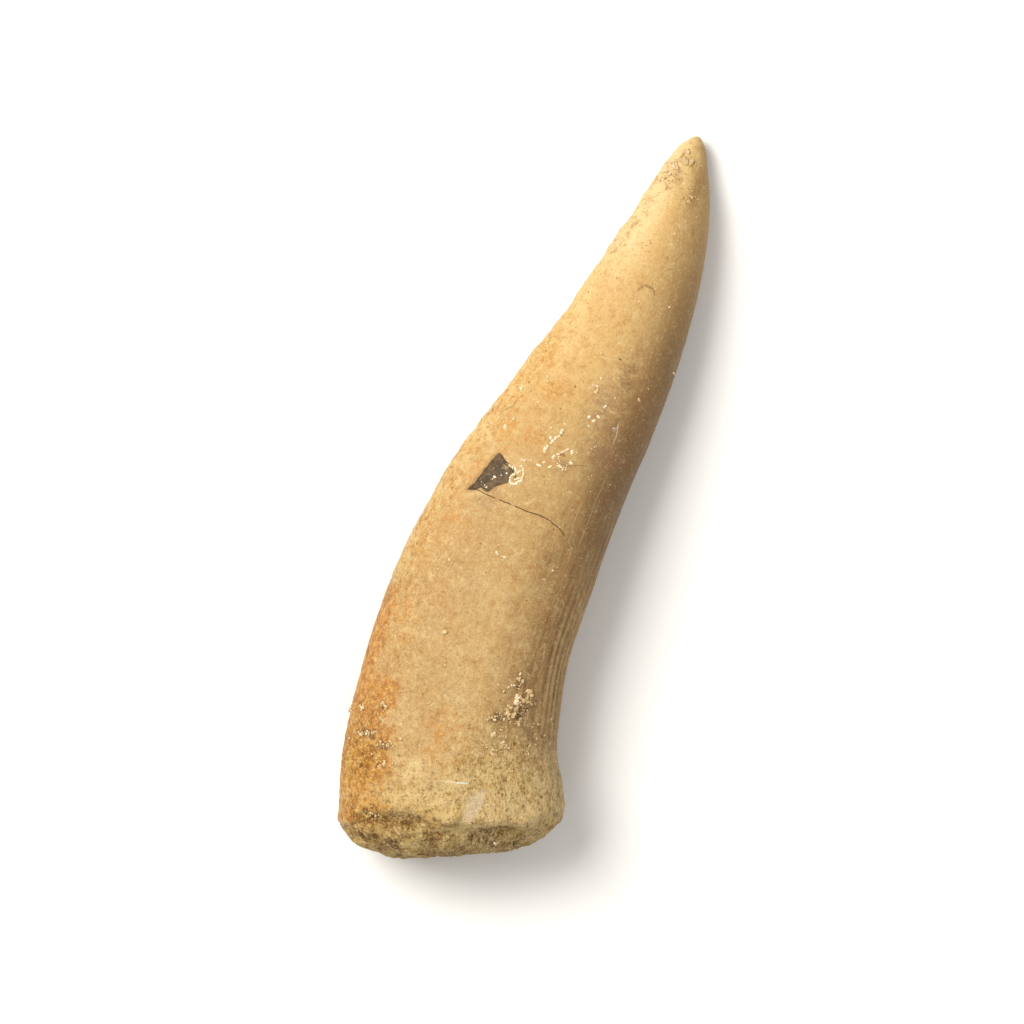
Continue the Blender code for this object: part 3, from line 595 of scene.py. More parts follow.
def line_fields(along, aside):
    """For the nearest fine line: the signed distance to it, its half width there, and its shade."""
    offset = np.full(along.shape, 9.0)
    half_width, shade = np.zeros(along.shape), np.zeros(along.shape)
    for route, widest, tone in LINES:
        route = np.array(route)
        steps = np.hypot(*np.diff(route, axis=0).T)
        run, length = 0.0, steps.sum()
        for (a0, b0), (a1, b1), step in zip(route, route[1:], steps):
            da, db = (a1 - a0) / step, (b1 - b0) / step
            ahead = (along - a0) * da + (aside - b0) * db
            beside = (along - a0) * db - (aside - b0) * da
            beyond = np.maximum(-ahead, ahead - step).clip(0)
            nearer = np.hypot(beside, beyond) < np.abs(offset)
            taper = np.clip(np.minimum(run + ahead, length - run - ahead) / 0.15 + 0.3, 0, 1)
            near_enough = smooth_step(LINE_REACH, 0.6 * LINE_REACH, np.hypot(beside, beyond))
            offset = np.where(nearer, np.copysign(np.hypot(beside, beyond), beside), offset)
            half_width = np.where(nearer, widest * taper * near_enough * (beyond < 0.03), half_width)
            shade = np.where(nearer, tone, shade)
            run += step
    return offset, half_width, shade


def granular_share(along, place_across, past_ledge, ochre):
    """How crumbly the surface is, from 0 on smooth enamel to 1 on the broken base."""
    broken = smooth_step(-0.3, 0.5, past_ledge)
    hollow_flank = 0.65 * smooth_step(12.0, 5.5, along) * smooth_step(-0.2, 0.3, place_across)
    near_ledge = 0.6 * smooth_step(8.5, 3.5, along)
    outer_flank = 0.28 * smooth_step(28.0, 12.0, along) * smooth_step(-0.2, -0.8, place_across)
    worn_tip = 0.45 * plateau((39.0, 42.0, 48.8, 49.6), along) * smooth_step(-0.35, -0.8, place_across)
    crusted_tip = 0.6 * smooth_step(1.0, 0.3, np.hypot((along - 48.0) / 1.7, (place_across + 0.4) / 0.8))
    worn_edge = 0.65 * plateau((12.0, 17.0, 33.0, 40.0), along) * smooth_step(-0.60, -0.92, place_across)
    rusty = 0.9 * ochre * (0.45 + 0.55 * smooth_step(10.5, 7.0, along))
    shares = [broken, hollow_flank, near_ledge, outer_flank, worn_tip, crusted_tip, worn_edge, rusty]
    return np.max(shares, axis=0)


def ridge_wave(points, along, arc):
    """1 on the crests of the fine ridges along the hollow side and -1 in their grooves, unevenly."""
    girth = np.radians(arc) * 0.82 * section_at(along)[0][..., 2]
    wave = np.cos(2 * math.pi * girth / RIDGE_PITCH + 0.9 * noise(points, 5.0, 5))
    return wave * (0.8 + 0.4 * noise(points, 2.5, 12))


def scar_share(along, aside):
    """1 on the scar's curved line, which goes round its farther half, and 0 off it."""
    scar_along, scar_aside, radius = SCAR
    away = np.hypot(along - scar_along, aside - scar_aside)
    turn = np.arctan2(along - scar_along, aside - scar_aside)
    return smooth_step(0.09, 0.02, np.abs(away - radius)) * plateau((-0.2, 0.5, 3.1, 3.14), turn)


def surface_fields(points, along, place_across, angle, upper, pits):
    """What the relief and the colours depend on, as one value a point."""
    place_along, place_aside = points[..., 1], points[..., 0]
    above = np.interp(place_across, *LEDGE_ABOVE.T)
    below = np.interp(place_across, *LEDGE_BELOW.T)
    past_ledge = np.where(np.sin(angle) > 0, above, below) + 0.12 * noise(points, 0.9, 1) - along
    offset, half_width, line_shade = line_fields(place_along + 0.02 * noise(points, 0.4, 11), place_aside)
    arc = np.degrees(np.arctan2(np.sin(angle), np.cos(angle)))
    fields = {
        "past_ledge": past_ledge,
        "along": along,
        "across": place_across,
        "line_offset": offset,
        "line_width": half_width * upper,
        "line_shade": line_shade,
        "pit": inside_pits(points, along, pits),
        "scar": scar_share(place_along, place_aside) * upper,
        "ridge": ridge_wave(points, along, arc) * plateau(RIDGE_ARC, arc) * plateau(RIDGE_SPAN, along),
        "crumbs": 0.6 * noise(points, 0.42, 8) + 0.4 * noise(points, 0.2, 9),
    }
    for name, outline in OUTLINES.items():
        fields[name] = np.where(upper, distance_inside(outline, place_along, place_aside), -2)
    for name, patches in STAINS.items():
        fields[name] = stain(patches, place_along, place_aside) * (upper | (name in WRAPPING_STAINS))
    fields["granular"] = granular_share(along, place_across, past_ledge, fields["ochre"])
    return fields


def ledge_relief(points, past_ledge, place_across):
    """The lip, the step down below it, and the lumps on the broken base."""
    outer = LEDGE_FADING + (1 - LEDGE_FADING) * smooth_step(0.9, 0.6, place_across)
    hollow = np.exp(-past_ledge.clip(0) / LEDGE_HOLLOW) * smooth_step(0, LEDGE_WALL, past_ledge)
    lip = np.exp(-((past_ledge / LIP_WIDTH) ** 2)) * smooth_step(0.1, -0.1, past_ledge)
    lumps = noise(points, ROUGH_LUMP, 2) + 0.6 * noise(points, ROUGH_LUMP / 2, 3)
    rough = ROUGH_RELIEF * lumps * smooth_step(-0.2, 0.6, past_ledge)
    return rough - LEDGE_STEP * outer * hollow + LIP_HEIGHT * outer * lip


def lobe_relief(points, upper):
    """The round flake on the ledge, proudest at its lower edge."""
    along, aside, radius, height = LOBE
    away = np.hypot(points[..., 1] - along, points[..., 0] - aside) / radius
    away = away + 0.12 * noise(points, 0.5, 23)
    lower = smooth_step(0.9, -0.5, (points[..., 1] - along) / radius)
    return upper * height * smooth_step(1.05, 0.85, away) * (0.25 + 0.75 * lower)


def base_relief(points, upper):
    """The dents in the broken base and the folds beside them."""
    place_along = points[..., 1] + 0.10 * noise(points, 0.7, 24)
    place_aside = points[..., 0] + 0.10 * noise(points, 0.7, 25)
    total = np.zeros(upper.shape)
    for along, aside, half_length, half_width, depth in DENTS:
        away = np.hypot((place_along - along) / half_length, (place_aside - aside) / half_width)
        total -= depth * smooth_step(1.2, 0.2, away)
    for route, half_width, height in FOLDS:
        total += height * np.exp(-((route_distance(route, place_along, place_aside) / half_width) ** 2))
    return total * upper


def crust_relief(points, upper):
    """The mounds that the grains are cemented into."""
    lumpy = 0.75 + 0.5 * noise(points, CRUST_GRAIN, 7) + 0.4 * noise(points, CRUST_GRAIN / 2, 13)
    total = np.zeros(points.shape[:-1])
    for along, aside, radius, height, side in CRUSTS:
        away = np.hypot(points[..., 1] - along, points[..., 0] - aside) / radius
        total += height * (upper == (side > 0)) * lumpy * smooth_step(1.15, 0.35, away)
    return total


def relief(points, along, place_across, angle, upper, fields):
    """How far the surface stands out from the bare shape at each point."""
    swell = 0.10 * noise(points, 6.0, 4) + 0.025 * noise(points, 2.0, 14) + 0.012 * noise(points, 0.6, 15)
    edge = smooth_step(-0.90, -1.0, place_across) * plateau((18, 34, 46, 50), along)
    nicks = 0.09 * noise(points, 1.5, 6) + 0.05 * noise(points, 0.5, 16)
    chip = smooth_step(-CHIP_WALL, CHIP_WALL, fields["chip"]) * (CHIP_DEPTH + 0.05 * noise(points, 0.7, 17))
    return (
        swell * smooth_step(1, 5, along) - chip + edge * nicks
        - PIT_STEEPNESS * fields["pit"].clip(0, PIT_FLOOR) - SCAR_DEPTH * fields["scar"]
        + CRUMB_HEIGHT * fields["granular"] * fields["crumbs"]
        + ledge_relief(points, fields["past_ledge"], place_across)
        + base_relief(points, upper) + lobe_relief(points, upper)
        + RIDGE_HEIGHT / 2 * fields["ridge"]
        + crust_relief(points, upper)
    )


def ring_faces(rings, columns):
    """Quads between neighbouring rings, and a fan at each end round the last two points."""
    base_end, tip_end = rings * columns, rings * columns + 1
    last_ring = (rings - 1) * columns
    column = np.arange(columns)
    following = (column + 1) % columns
    low = np.arange(0, last_ring, columns)[:, None]
    quads = np.stack([low + column, low + following, low + following + columns, low + column + columns], -1)
    base_fan = np.stack([np.full(columns, base_end), following, column], -1)
    tip_fan = np.stack([np.full(columns, tip_end), last_ring + column, last_ring + following], -1)
    return quads.reshape(-1, 4).tolist() + base_fan.tolist() + tip_fan.tolist()


def with_ends(values):
    """A grid's values as one list, with the means of its first and last ring for the two ends."""
    flat = values.reshape(-1, *values.shape[2:])
    return np.concatenate([flat, values[:1].mean(axis=1), values[-1:].mean(axis=1)])


def add_object(name, data):
    made = bpy.data.objects.new(name, data)
    bpy.context.scene.collection.objects.link(made)
    return made


def add_mesh(name, corners, faces, material):
    """A mesh object; corners are in metres."""
    mesh = bpy.data.meshes.new(name)
    mesh.from_pydata(corners, [], faces)
    mesh.materials.append(material)
    return add_object(name, mesh)


def add_piece(name, corners, faces, material):
    """A mesh object that moves with the frame's one body."""
    made = add_mesh(name, corners.tolist(), faces, material)
    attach(made, "root")
    return made


def give_field(mesh, name, values):
    """Stores one number, or one vector, for each corner of a mesh, for its material to read."""
    kind, key = ("FLOAT_VECTOR", "vector") if values.ndim == 2 else ("FLOAT", "value")
    attribute = mesh.attributes.new(name, kind, "POINT")
    attribute.data.foreach_set(key, values.astype(np.float32).ravel())


class Shade:
    """Short ways to make the shader nodes of one material."""

    def __init__(self, name):
        self.material = bpy.data.materials.new(name)
        self.material.use_nodes = True
        self.tree = self.material.node_tree
        self.surface = self.tree.nodes["Principled BSDF"]

    def add(self, kind, inputs, output=0, **settings):
        """A node with its settings; each input is a number, a colour or another node's output."""
        node = self.tree.nodes.new(kind)
        for setting, value in settings.items():
            setattr(node, setting, value)
        for key, value in inputs.items():
            self.connect(value, node.inputs[key])
        return node.outputs[output]

    def connect(self, value, socket):
        if isinstance(value, bpy.types.NodeSocket):
            self.tree.links.new(value, socket)
        else:
            socket.default_value = value

    def field(self, name, output="Fac"):
        return self.add("ShaderNodeAttribute", {}, output, attribute_name=name)

    def place(self):
        """The place on the object in millimetres."""
        spot = self.add("ShaderNodeTexCoord", {}, "Object")
        return self.add("ShaderNodeVectorMath", {0: spot, 3: 1 / MM}, operation="SCALE")

    def stretched(self, where, factors):
        return self.add("ShaderNodeVectorMath", {0: where, 1: factors}, operation="MULTIPLY")

    def noise(self, where, size, detail=2.0, roughness=0.5):
        inputs = {"Vector": where, "Scale": 1 / size, "Detail": detail, "Roughness": roughness}
        return self.add("ShaderNodeTexNoise", inputs, "Fac")

    def spots(self, where, size, output="Distance"):
        return self.add("ShaderNodeTexVoronoi", {"Vector": where, "Scale": 1 / size}, output)

    def bent(self, where, size, amount):
        """The place pushed about by noise, which makes whatever is placed by it uneven."""
        inputs = {"Vector": where, "Scale": 1 / size, "Detail": 1.0}
        push = self.add("ShaderNodeTexNoise", inputs, "Color")
        push = self.add("ShaderNodeVectorMath", {0: push, 3: amount}, operation="SCALE")
        return self.add("ShaderNodeVectorMath", {0: where, 1: push}, operation="ADD")

    def blobs(self, where, size, radius, rarity):
        """1 inside uneven blobs of a radius, in those cells of a size that a chance above rarity picks."""
        uneven = self.bent(where, 2.5 * radius, 1.6 * radius)
        near = self.fade(self.spots(uneven, size), 1.15 * radius / size, 0.6 * radius / size)
        chance = self.spots(uneven, size, "Color")
        return self.times(near, self.math("GREATER_THAN", chance, rarity))

    def math(self, operation, a, b=0.0, c=0.0):
        return self.add("ShaderNodeMath", {0: a, 1: b, 2: c}, operation=operation)

    def fade(self, value, low, high):
        """0 where the value is at low, 1 where it is at high; low may be above high."""
        inputs = {"Value": value, "From Min": low, "From Max": high}
        return self.add("ShaderNodeMapRange", inputs, interpolation_type="SMOOTHSTEP")

    def times(self, product, *factors):
        for factor in factors:
            product = self.math("MULTIPLY", product, factor)
        return product

    def line(self, value, slope, start):
        """The value times a slope, added to a start."""
        return self.math("MULTIPLY_ADD", value, slope, start)

    def plateau(self, span, value):
        """0 outside a span's first and last value, 1 between its middle two."""
        start, full, fading, end = span
        return self.times(self.fade(value, start, full), self.fade(value, end, fading))

    def zone(self, **spans):
        """Where each named field has faded in over its span of two values, or is on its plateau of four."""
        return self.times(*(
            self.fade(self.field(name), *span) if len(span) == 2 else self.plateau(span, self.field(name))
            for name, span in spans.items()
        ))

    def mix(self, share, a, b):
        """Colour a where the share is 0, colour b where it is 1."""
        return self.add("ShaderNodeMix", {0: share, 6: a, 7: b}, 2, data_type="RGBA")

    def tinted(self, colour, *washes):
        """A colour under washes, each with its share, its strength and its own colour as it is seen."""
        for share, strength, seen in washes:
            colour = self.mix(self.times(share, strength), colour, srgb(*seen))
        return colour

    def bump(self, height, depth, under=None):
        """A normal for relief of the given depth in millimetres."""
        inputs = {"Height": height, "Distance": depth * MM}
        if under is not None:
            inputs["Normal"] = under
        return self.add("ShaderNodeBump", inputs)

    def finish(self, **inputs):
        for key, value in inputs.items():
            self.connect(value, self.surface.inputs[key.replace("_", " ")])
        return self.material


def enamel_colour(shade, where, mottle):
    """The worn flanks: tan clouds, golden towards the tip; the hollow side browner, with painted shade."""
    clouds = shade.fade(shade.noise(where, 6, 3), 0.38, 0.62)
    colour = shade.mix(clouds, srgb(218, 178, 114), srgb(228, 188, 124))
    lower_flank = shade.zone(along=(3, 10, 20, 27), across=(0.15, -0.35))
    upper_gold = shade.zone(along=(22, 36), across=(0.45, -0.2))
    # Gold along the outer cutting edge, partly a painted highlight on the lit outer side
    edge_gold_highlight = shade.zone(along=(12, 20, 37, 44), across=(-0.7, -0.95))
    # Browner on the hollow side: partly its own colour, partly painted shade on the side away from the
    # light
    hollow_side = shade.zone(along=(1.5, 11), across=(0.1, 0.8))
    below_tip = shade.line(shade.zone(along=(40, 47)), -0.5, 1)
    # Painted shade along the hollow side's edge, and a darker painted shadow band within it
    painted_shade_edge = shade.zone(along=(18, 25, 36, 43), across=(0.5, 0.85))
    painted_shadow_band = shade.zone(along=(23.5, 27.5, 29, 33), across=(0.35, 0.75))
    # The pale tip on the lit outer side: partly its own pale enamel, partly a painted highlight
    pale_tip_highlight = shade.zone(along=(37, 46), across=(0.1, -0.7))
    colour = shade.tinted(
        colour,
        (lower_flank, 0.8, (208, 164, 100)),
        (shade.fade(mottle, 0.46, 0.75), 0.6, (206, 152, 84)),
        (shade.fade(mottle, 0.46, 0.25), 0.5, (232, 200, 144)),
        (upper_gold, 0.6, (244, 196, 116)),
        (edge_gold_highlight, 0.7, (255, 204, 116)),
        (shade.times(hollow_side, below_tip), 0.72, (166, 126, 76)),
        (painted_shade_edge, 0.65, (132, 98, 54)),
        (painted_shadow_band, 0.35, (96, 72, 44)),
    )
    return shade.mix(shade.times(pale_tip_highlight, 0.68), colour, TIP_HIGHLIGHT_ENAMEL)


def stained(shade, where, colour):
    """The amber, ochre and olive stains of the flanks over a colour."""
    cloud, blotch = shade.noise(where, 0.9, 4, 0.65), shade.noise(where, 0.45, 4, 0.65)
    amber = shade.times(shade.field("amber"), shade.fade(cloud, 0.40, 0.60))
    colour = shade.tinted(
        colour,
        (amber, 0.5, (232, 166, 78)),
        (shade.times(amber, shade.fade(blotch, 0.48, 0.60)), 0.55, (214, 148, 60)),
    )
    ochre = shade.fade(shade.line(cloud, 1.3, shade.field("ochre")), 0.75, 1.25)
    golden = shade.mix(shade.zone(along=(5, 9)), srgb(228, 156, 48), srgb(222, 154, 70))
    return shade.tinted(
        shade.mix(shade.times(ochre, 0.92), colour, golden),
        (shade.times(ochre, shade.fade(cloud, 0.46, 0.60)), 0.7, (190, 114, 34)),
        (shade.times(ochre, shade.fade(blotch, 0.50, 0.62)), 0.36, (156, 92, 32)),
        (shade.field("olive"), 0.65, (248, 204, 120)),
    )


def stains_and_painted_light(shade, where, colour):
    """Brown, pale and mauve-grey stains, on the broken base too; partly painted shade and highlight."""
    cloud = shade.noise(where, 0.9, 4, 0.65)
    return shade.tinted(
        colour,
        (shade.times(shade.field("brown"), shade.fade(cloud, 0.32, 0.58)), 0.68, (148, 106, 60)),
        (shade.times(shade.field("pale"), shade.fade(cloud, 0.66, 0.42)), 0.72, (255, 223, 154)),
        (shade.times(shade.field("mauve"), shade.fade(cloud, 0.35, 0.6)), 0.65, (170, 132, 98)),
    )


def base_colour(shade, where):
    """The broken base: yellow-olive in paler and darker patches."""
    patch = shade.fade(shade.noise(where, 1.8, 3), 0.35, 0.65)
    colour = shade.mix(patch, srgb(194, 150, 80), srgb(240, 196, 114))
    return shade.tinted(colour, (shade.field("ochre"), 0.75, (186, 124, 46)))


def speck_and_crevice_colour(shade, dark):
    """Dark specks and painted shade between crumbs: dark near the base, and light brown further up."""
    return shade.mix(shade.zone(along=(12, 22)), dark, srgb(182, 126, 64))


def speckled(shade, where, granular, colour):
    """Fine light and dark specks everywhere, and strong crumbs where the surface is granular."""
    light = shade.mix(shade.field("ochre"), srgb(255, 228, 160), srgb(255, 212, 120))
    calm_flank = shade.zone(along=(17, 24), across=(0.3, 0.7))
    for size, least, calmed in ((0.15, 0.54, -0.12), (0.5, 0.42, -0.24)):
        texture = shade.noise(where, size, 3.5, 0.7)
        strength = shade.line(granular, 0.75, shade.line(calm_flank, calmed, least))
        dark = shade.times(shade.fade(texture, 0.49, 0.27), strength)
        colour = shade.mix(dark, colour, speck_and_crevice_colour(shade, srgb(150, 102, 44)))
        pale = shade.times(shade.fade(texture, 0.51, 0.75), strength)
        colour = shade.mix(pale, colour, light)
    # Partly painted shade where the crumb relief is low and a painted highlight where it is high
    crumb = shade.line(shade.field("crumbs"), 0.2, shade.noise(where, 0.2, 3, 0.7))
    strength = shade.times(granular, shade.line(granular, 0.3, 0.55))
    low = shade.times(shade.fade(crumb, 0.47, 0.30), strength)
    colour = shade.mix(low, colour, speck_and_crevice_colour(shade, srgb(114, 74, 22)))
    return shade.mix(shade.times(shade.fade(crumb, 0.52, 0.70), strength), colour, light)


def combed(shade, fibre, colour):
    """Long flecks along the fang, on the ridged flank and on the rough one below it; also the flecks."""
    streak = shade.noise(fibre, 0.3, 3, 0.65)
    ridged = shade.times(shade.line(shade.zone(across=(0.2, 0.8)), 0.4, 0.1), shade.zone(along=(32, 22)))
    fleck = shade.noise(shade.stretched(fibre, (1, 1, 2.6)), 0.11, 2, 0.6)
    rough = shade.zone(along=(9, 4), across=(-0.15, 0.35))
    colour = shade.tinted(
        colour,
        (shade.fade(streak, 0.52, 0.72), ridged, (118, 84, 40)),
        (shade.fade(streak, 0.46, 0.28), ridged, (236, 204, 142)),
        # Painted shade in the ridges' grooves and a painted highlight on their crests
        (shade.zone(ridge=(0, -1)), 0.4, (110, 78, 38)),
        (shade.zone(ridge=(0.2, 1)), 0.35, (230, 196, 138)),
        (shade.times(rough, shade.fade(fleck, 0.47, 0.30)), 0.35, (122, 84, 38)),
        (shade.times(rough, shade.fade(fleck, 0.48, 0.66)), 0.7, (255, 224, 164)),
    )
    return colour, fleck


def flecked(shade, where, granular, colour):
    """Cream crumbs, small brown pits and short pale scratches; also the pits and the crumbs."""
    hair = shade.math("ABSOLUTE", shade.math("SUBTRACT", shade.noise(where, 1.1, 1), 0.5))
    chosen = shade.fade(shade.noise(where, 0.6, 2), 0.60, 0.65)
    rarity = shade.line(granular, -0.25, 0.78)
    pits = shade.blobs(where, 0.42, 0.055, rarity)
    crumbs = shade.blobs(shade.stretched(where, (1, 0.8, 1)), 0.55, 0.07, rarity)
    colour = shade.tinted(
        colour,
        (shade.times(shade.fade(hair, 0.012, 0.004), chosen), 0.3, (255, 238, 190)),
        (pits, 0.65, (134, 90, 42)),
        (crumbs, shade.line(shade.zone(across=(0.3, 0.7)), -0.4, 0.7), (255, 236, 184)),
    )
    return colour, pits, crumbs


def ledge_shaded(shade, where, past_ledge, colour):
    """Painted shade under the ledge and round the lower rim, and dirt with painted shade in the hollows."""
    spotty, crumbly = shade.noise(where, 0.5, 4, 0.65), shade.noise(where, 0.26, 4, 0.7)
    # A light painted shade just below the ledge on the outer side
    below_ledge = shade.plateau((0.25, 0.6, 1.1, 2.1), shade.line(spotty, 0.6, past_ledge))
    outer = shade.zone(across=(0.15, -0.15))
    # Dark brown in the base's hollows: partly dirt, partly painted shade
    hollows = shade.fade(shade.line(crumbly, 2.4, shade.field("dirt")), 1.5, 2.05)
    # Dark specks round the lower rim of the base's end, partly painted shade where it turns down
    rim = shade.times(shade.zone(along=(1.3, 0.2)), shade.fade(spotty, 0.42, 0.6))
    return shade.tinted(
        colour,
        (shade.times(below_ledge, outer), 0.22, (140, 104, 48)),
        (hollows, 0.8, (108, 70, 16)),
        (rim, 0.6, (88, 64, 32)),
    )


def fine_lines(shade, colour):
    """The crack, the hair cracks and the pale scratches; also where the dark ones are."""
    away = shade.math("ABSOLUTE", shade.field("line_offset"))
    from_edge = shade.math("SUBTRACT", away, shade.field("line_width"))
    inside = shade.times(shade.fade(from_edge, 0.022, -0.012), shade.zone(line_width=(0.001, 0.012)))
    dark = shade.times(inside, shade.zone(line_shade=(0, -1)))
    pale = shade.zone(line_shade=(0, 1))
    return shade.tinted(colour, (dark, 0.95, (60, 38, 24)), (inside, pale, (255, 246, 220))), dark


def chip_colour(shade, where):
    """The dark stone inside the chip, with light specks and a tan corner."""
    bottom = shade.fade(shade.noise(where, 0.6, 4, 0.65), 0.35, 0.65)
    specks = shade.fade(shade.noise(where, 0.14, 3, 0.7), 0.54, 0.70)
    ragged = shade.line(shade.noise(where, 0.2, 3, 0.7), 2, shade.field("chip_tan"))
    return shade.tinted(
        shade.mix(bottom, srgb(78, 60, 36), srgb(118, 94, 62)),
        (specks, 0.7, (180, 152, 108)),
        (shade.fade(ragged, 1.6, 1.9), 0.8, (190, 156, 104)),
    )


def edge_worn(shade, where, colour):
    """The pale worn patches of the cutting edge on the outer side."""
    patchy = shade.fade(shade.noise(where, 0.8, 3), 0.4, 0.55)
    edge = shade.zone(along=(13, 18), across=(-0.90, -0.99))
    return shade.tinted(colour, (shade.times(edge, patchy), 0.6, (252, 222, 168)))


def flaws(shade, where, colour):
    """The named pits, dirt and painted shadow round the grains, the scar, the film and the facet."""
    # Darker brown inside the named pits: partly their own colour, partly painted shade in the hollows
    pitted = shade.fade(shade.line(shade.noise(where, 0.12, 2), 0.14, shade.field("pit")), 0.12, 0.18)
    colour = shade.tinted(colour, (pitted, 0.65, (142, 92, 42)))
    # A painted contact shadow round the grains, partly brown ground, stronger where dirt and shade gather
    gap = shade.fade(shade.line(shade.noise(where, 0.2, 2), 0.3, shade.field("grain_gap")), 0.22, 0.11)
    packed = shade.line(shade.zone(dirt=(0, 0.5)), 0.38, 0.5)
    shade_and_dirt_between = shade.mix(shade.zone(along=(20, 40)), srgb(94, 66, 34), srgb(168, 116, 56))
    blur = shade.noise(where, 0.5, 3)
    return shade.tinted(
        shade.mix(shade.times(gap, packed), colour, shade_and_dirt_between),
        (shade.field("scar"), 0.7, (140, 98, 58)),
        (shade.fade(shade.line(blur, 0.6, shade.field("film")), 0.2, 0.5), 0.64, (250, 226, 186)),
        (shade.fade(shade.line(blur, 0.6, shade.field("facet")), 0.25, 0.36), 0.5, (255, 230, 172)),
    )


def fine_relief(shade, where, fibre, granular, bits):
    """The normal for what is finer than the mesh; bits are the flecks, pits, crumbs and cracks."""
    flecks, pits, crumbs, cracks = bits
    steep = shade.times(granular, shade.line(shade.zone(along=(14, 34)), -0.75, 1))
    normal = shade.bump(shade.noise(where, 0.13, 3, 0.7), 0.035)
    for height, depth in (
        (shade.noise(where, 0.5, 3), 0.05),
        (shade.noise(fibre, 0.3, 3, 0.6), 0.025),
        (shade.times(shade.noise(where, 0.24, 4, 0.7), steep), 0.26),
        (shade.times(flecks, granular), 0.08),
        (shade.math("SUBTRACT", crumbs, pits), 0.03),
        (shade.math("SUBTRACT", 1, cracks), 0.05),
    ):
        normal = shade.bump(height, depth, normal)
    return normal


def fossil_material():
    """Satin fossil enamel, with its flaws painted by the fields on the surface."""
    shade = Shade("fossil_surface")
    where, fibre = shade.place(), shade.field("fibre", "Vector")
    past_ledge, granular = shade.field("past_ledge"), shade.field("granular")
    ragged = shade.line(shade.noise(where, 0.35, 2), 0.4, past_ledge)
    broken = shade.fade(ragged, 0.05, 0.6)
    enamel = enamel_colour(shade, where, shade.noise(where, 1.5, 4, 0.6))
    colour = shade.mix(broken, stained(shade, where, enamel), base_colour(shade, where))
    colour = ledge_shaded(shade, where, past_ledge, stains_and_painted_light(shade, where, colour))
    colour = speckled(shade, where, granular, edge_worn(shade, where, colour))
    colour, flecks = combed(shade, fibre, colour)
    colour, pits, crumbs = flecked(shade, where, granular, colour)
    colour, cracks = fine_lines(shade, flaws(shade, where, colour))
    colour = shade.mix(shade.zone(chip=(-0.015, 0.025)), colour, chip_colour(shade, where))
    dull = shade.line(shade.noise(where, 0.9, 3), 0.2, 0.5)
    roughness = shade.math("MAXIMUM", dull, shade.times(granular, 0.9))
    normal = fine_relief(shade, where, fibre, granular, (flecks, pits, crumbs, cracks))
    return shade.finish(Base_Color=colour, Roughness=roughness, Normal=normal, Specular_IOR_Level=0.35)


def grain_material():
    """Cemented sand, from brown through cream to white by each grain's shade."""
    shade = Shade("sand_grain")
    where = shade.place()
    tone = shade.line(shade.noise(where, 0.08, 2), 0.4, shade.field("tone"))
    colour = shade.mix(shade.fade(tone, 0.3, 0.85), srgb(156, 114, 66), srgb(242, 208, 150))
    colour = shade.mix(shade.fade(tone, 0.98, 1.28), colour, WHITE_SAND)
    normal = shade.bump(shade.noise(where, 0.06, 2), 0.012)
    return shade.finish(Base_Color=colour, Roughness=0.6, Normal=normal, Specular_IOR_Level=0.3)


def fang_surface(rng):
    """The fang's grid of points and normals in millimetres, with the fields on it."""
    along, share, angle = ring_places()
    points, place_across = fang_points(along, share, angle)
    normals = surface_normals(points)
    upper = normals[..., 2] > 0
    fields = surface_fields(points, along, place_across, angle, upper, pit_places(rng))
    points = points + normals * relief(points, along, place_across, angle, upper, fields)[..., None]
    points[..., 2] = points[..., 2].clip(0)
    fields["fibre"] = np.stack([5 * np.cos(angle), 5 * np.sin(angle), 0.12 * along], axis=-1)
    return points, surface_normals(points), fields


def plan_shift(points):
    """What moves the fang's plan so that its middle lies where the solid's does."""
    low, high = (np.array(corner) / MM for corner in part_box("tooth"))
    flat = points.reshape(-1, 3)
    shift = (low + high) / 2 - (flat.min(axis=0) + flat.max(axis=0)) / 2
    return shift * (1, 1, 0)


def ball():
    """Corners and faces of a ball of radius 1 with 80 faces."""
    made = bmesh.new()
    bmesh.ops.create_icosphere(made, subdivisions=2, radius=1)
    corners = np.array([corner.co for corner in made.verts])
    faces = np.array([[corner.index for corner in face.verts] for face in made.faces])
    made.free()
    return corners, faces


def sand_grain(rng, ball_corners):
    """One grain of about radius 1: a squashed ball with flat breaks, turned at random."""
    shape = ball_corners * (1.0, rng.uniform(0.65, 1.0), rng.uniform(0.6, 0.9))
    for _ in range(6):
        facing = rng.standard_normal(3)
        facing /= np.linalg.norm(facing)
        beyond = (shape @ facing - rng.uniform(0.4, 0.8)).clip(0)
        shape = shape - beyond[:, None] * facing
    shape = shape + 0.05 * rng.standard_normal(shape.shape)
    return shape @ np.array(Matrix.Rotation(rng.uniform(0, 6.28), 3, Vector(rng.standard_normal(3))))


def trail_swell(along):
    """How much larger than their row says a trail's grains are: above the chip and near the tip."""
    return 1 + 0.28 * plateau((25.7, 26.2, 33.0, 36.0), along) + 0.15 * smooth_step(44, 47, along)


def trail_places(rng, trails, side):
    """The trails' grains: along, aside, diameter, shade and side."""
    places = []
    for route, stray, count, (least, most), shades in trails:
        route = np.array(route)
        lengths = np.append(0, np.cumsum(np.hypot(*np.diff(route, axis=0).T)))
        for _ in range(count):
            spot = rng.uniform(0, lengths[-1])
            along = np.interp(spot, lengths, route[:, 0]) + rng.normal(0, stray)
            aside = np.interp(spot, lengths, route[:, 1]) + rng.normal(0, stray)
            size = (least + (most - least) * rng.random() ** 1.2) * trail_swell(along)
            places.append((along, aside, size, rng.uniform(*shades), side))
    return places


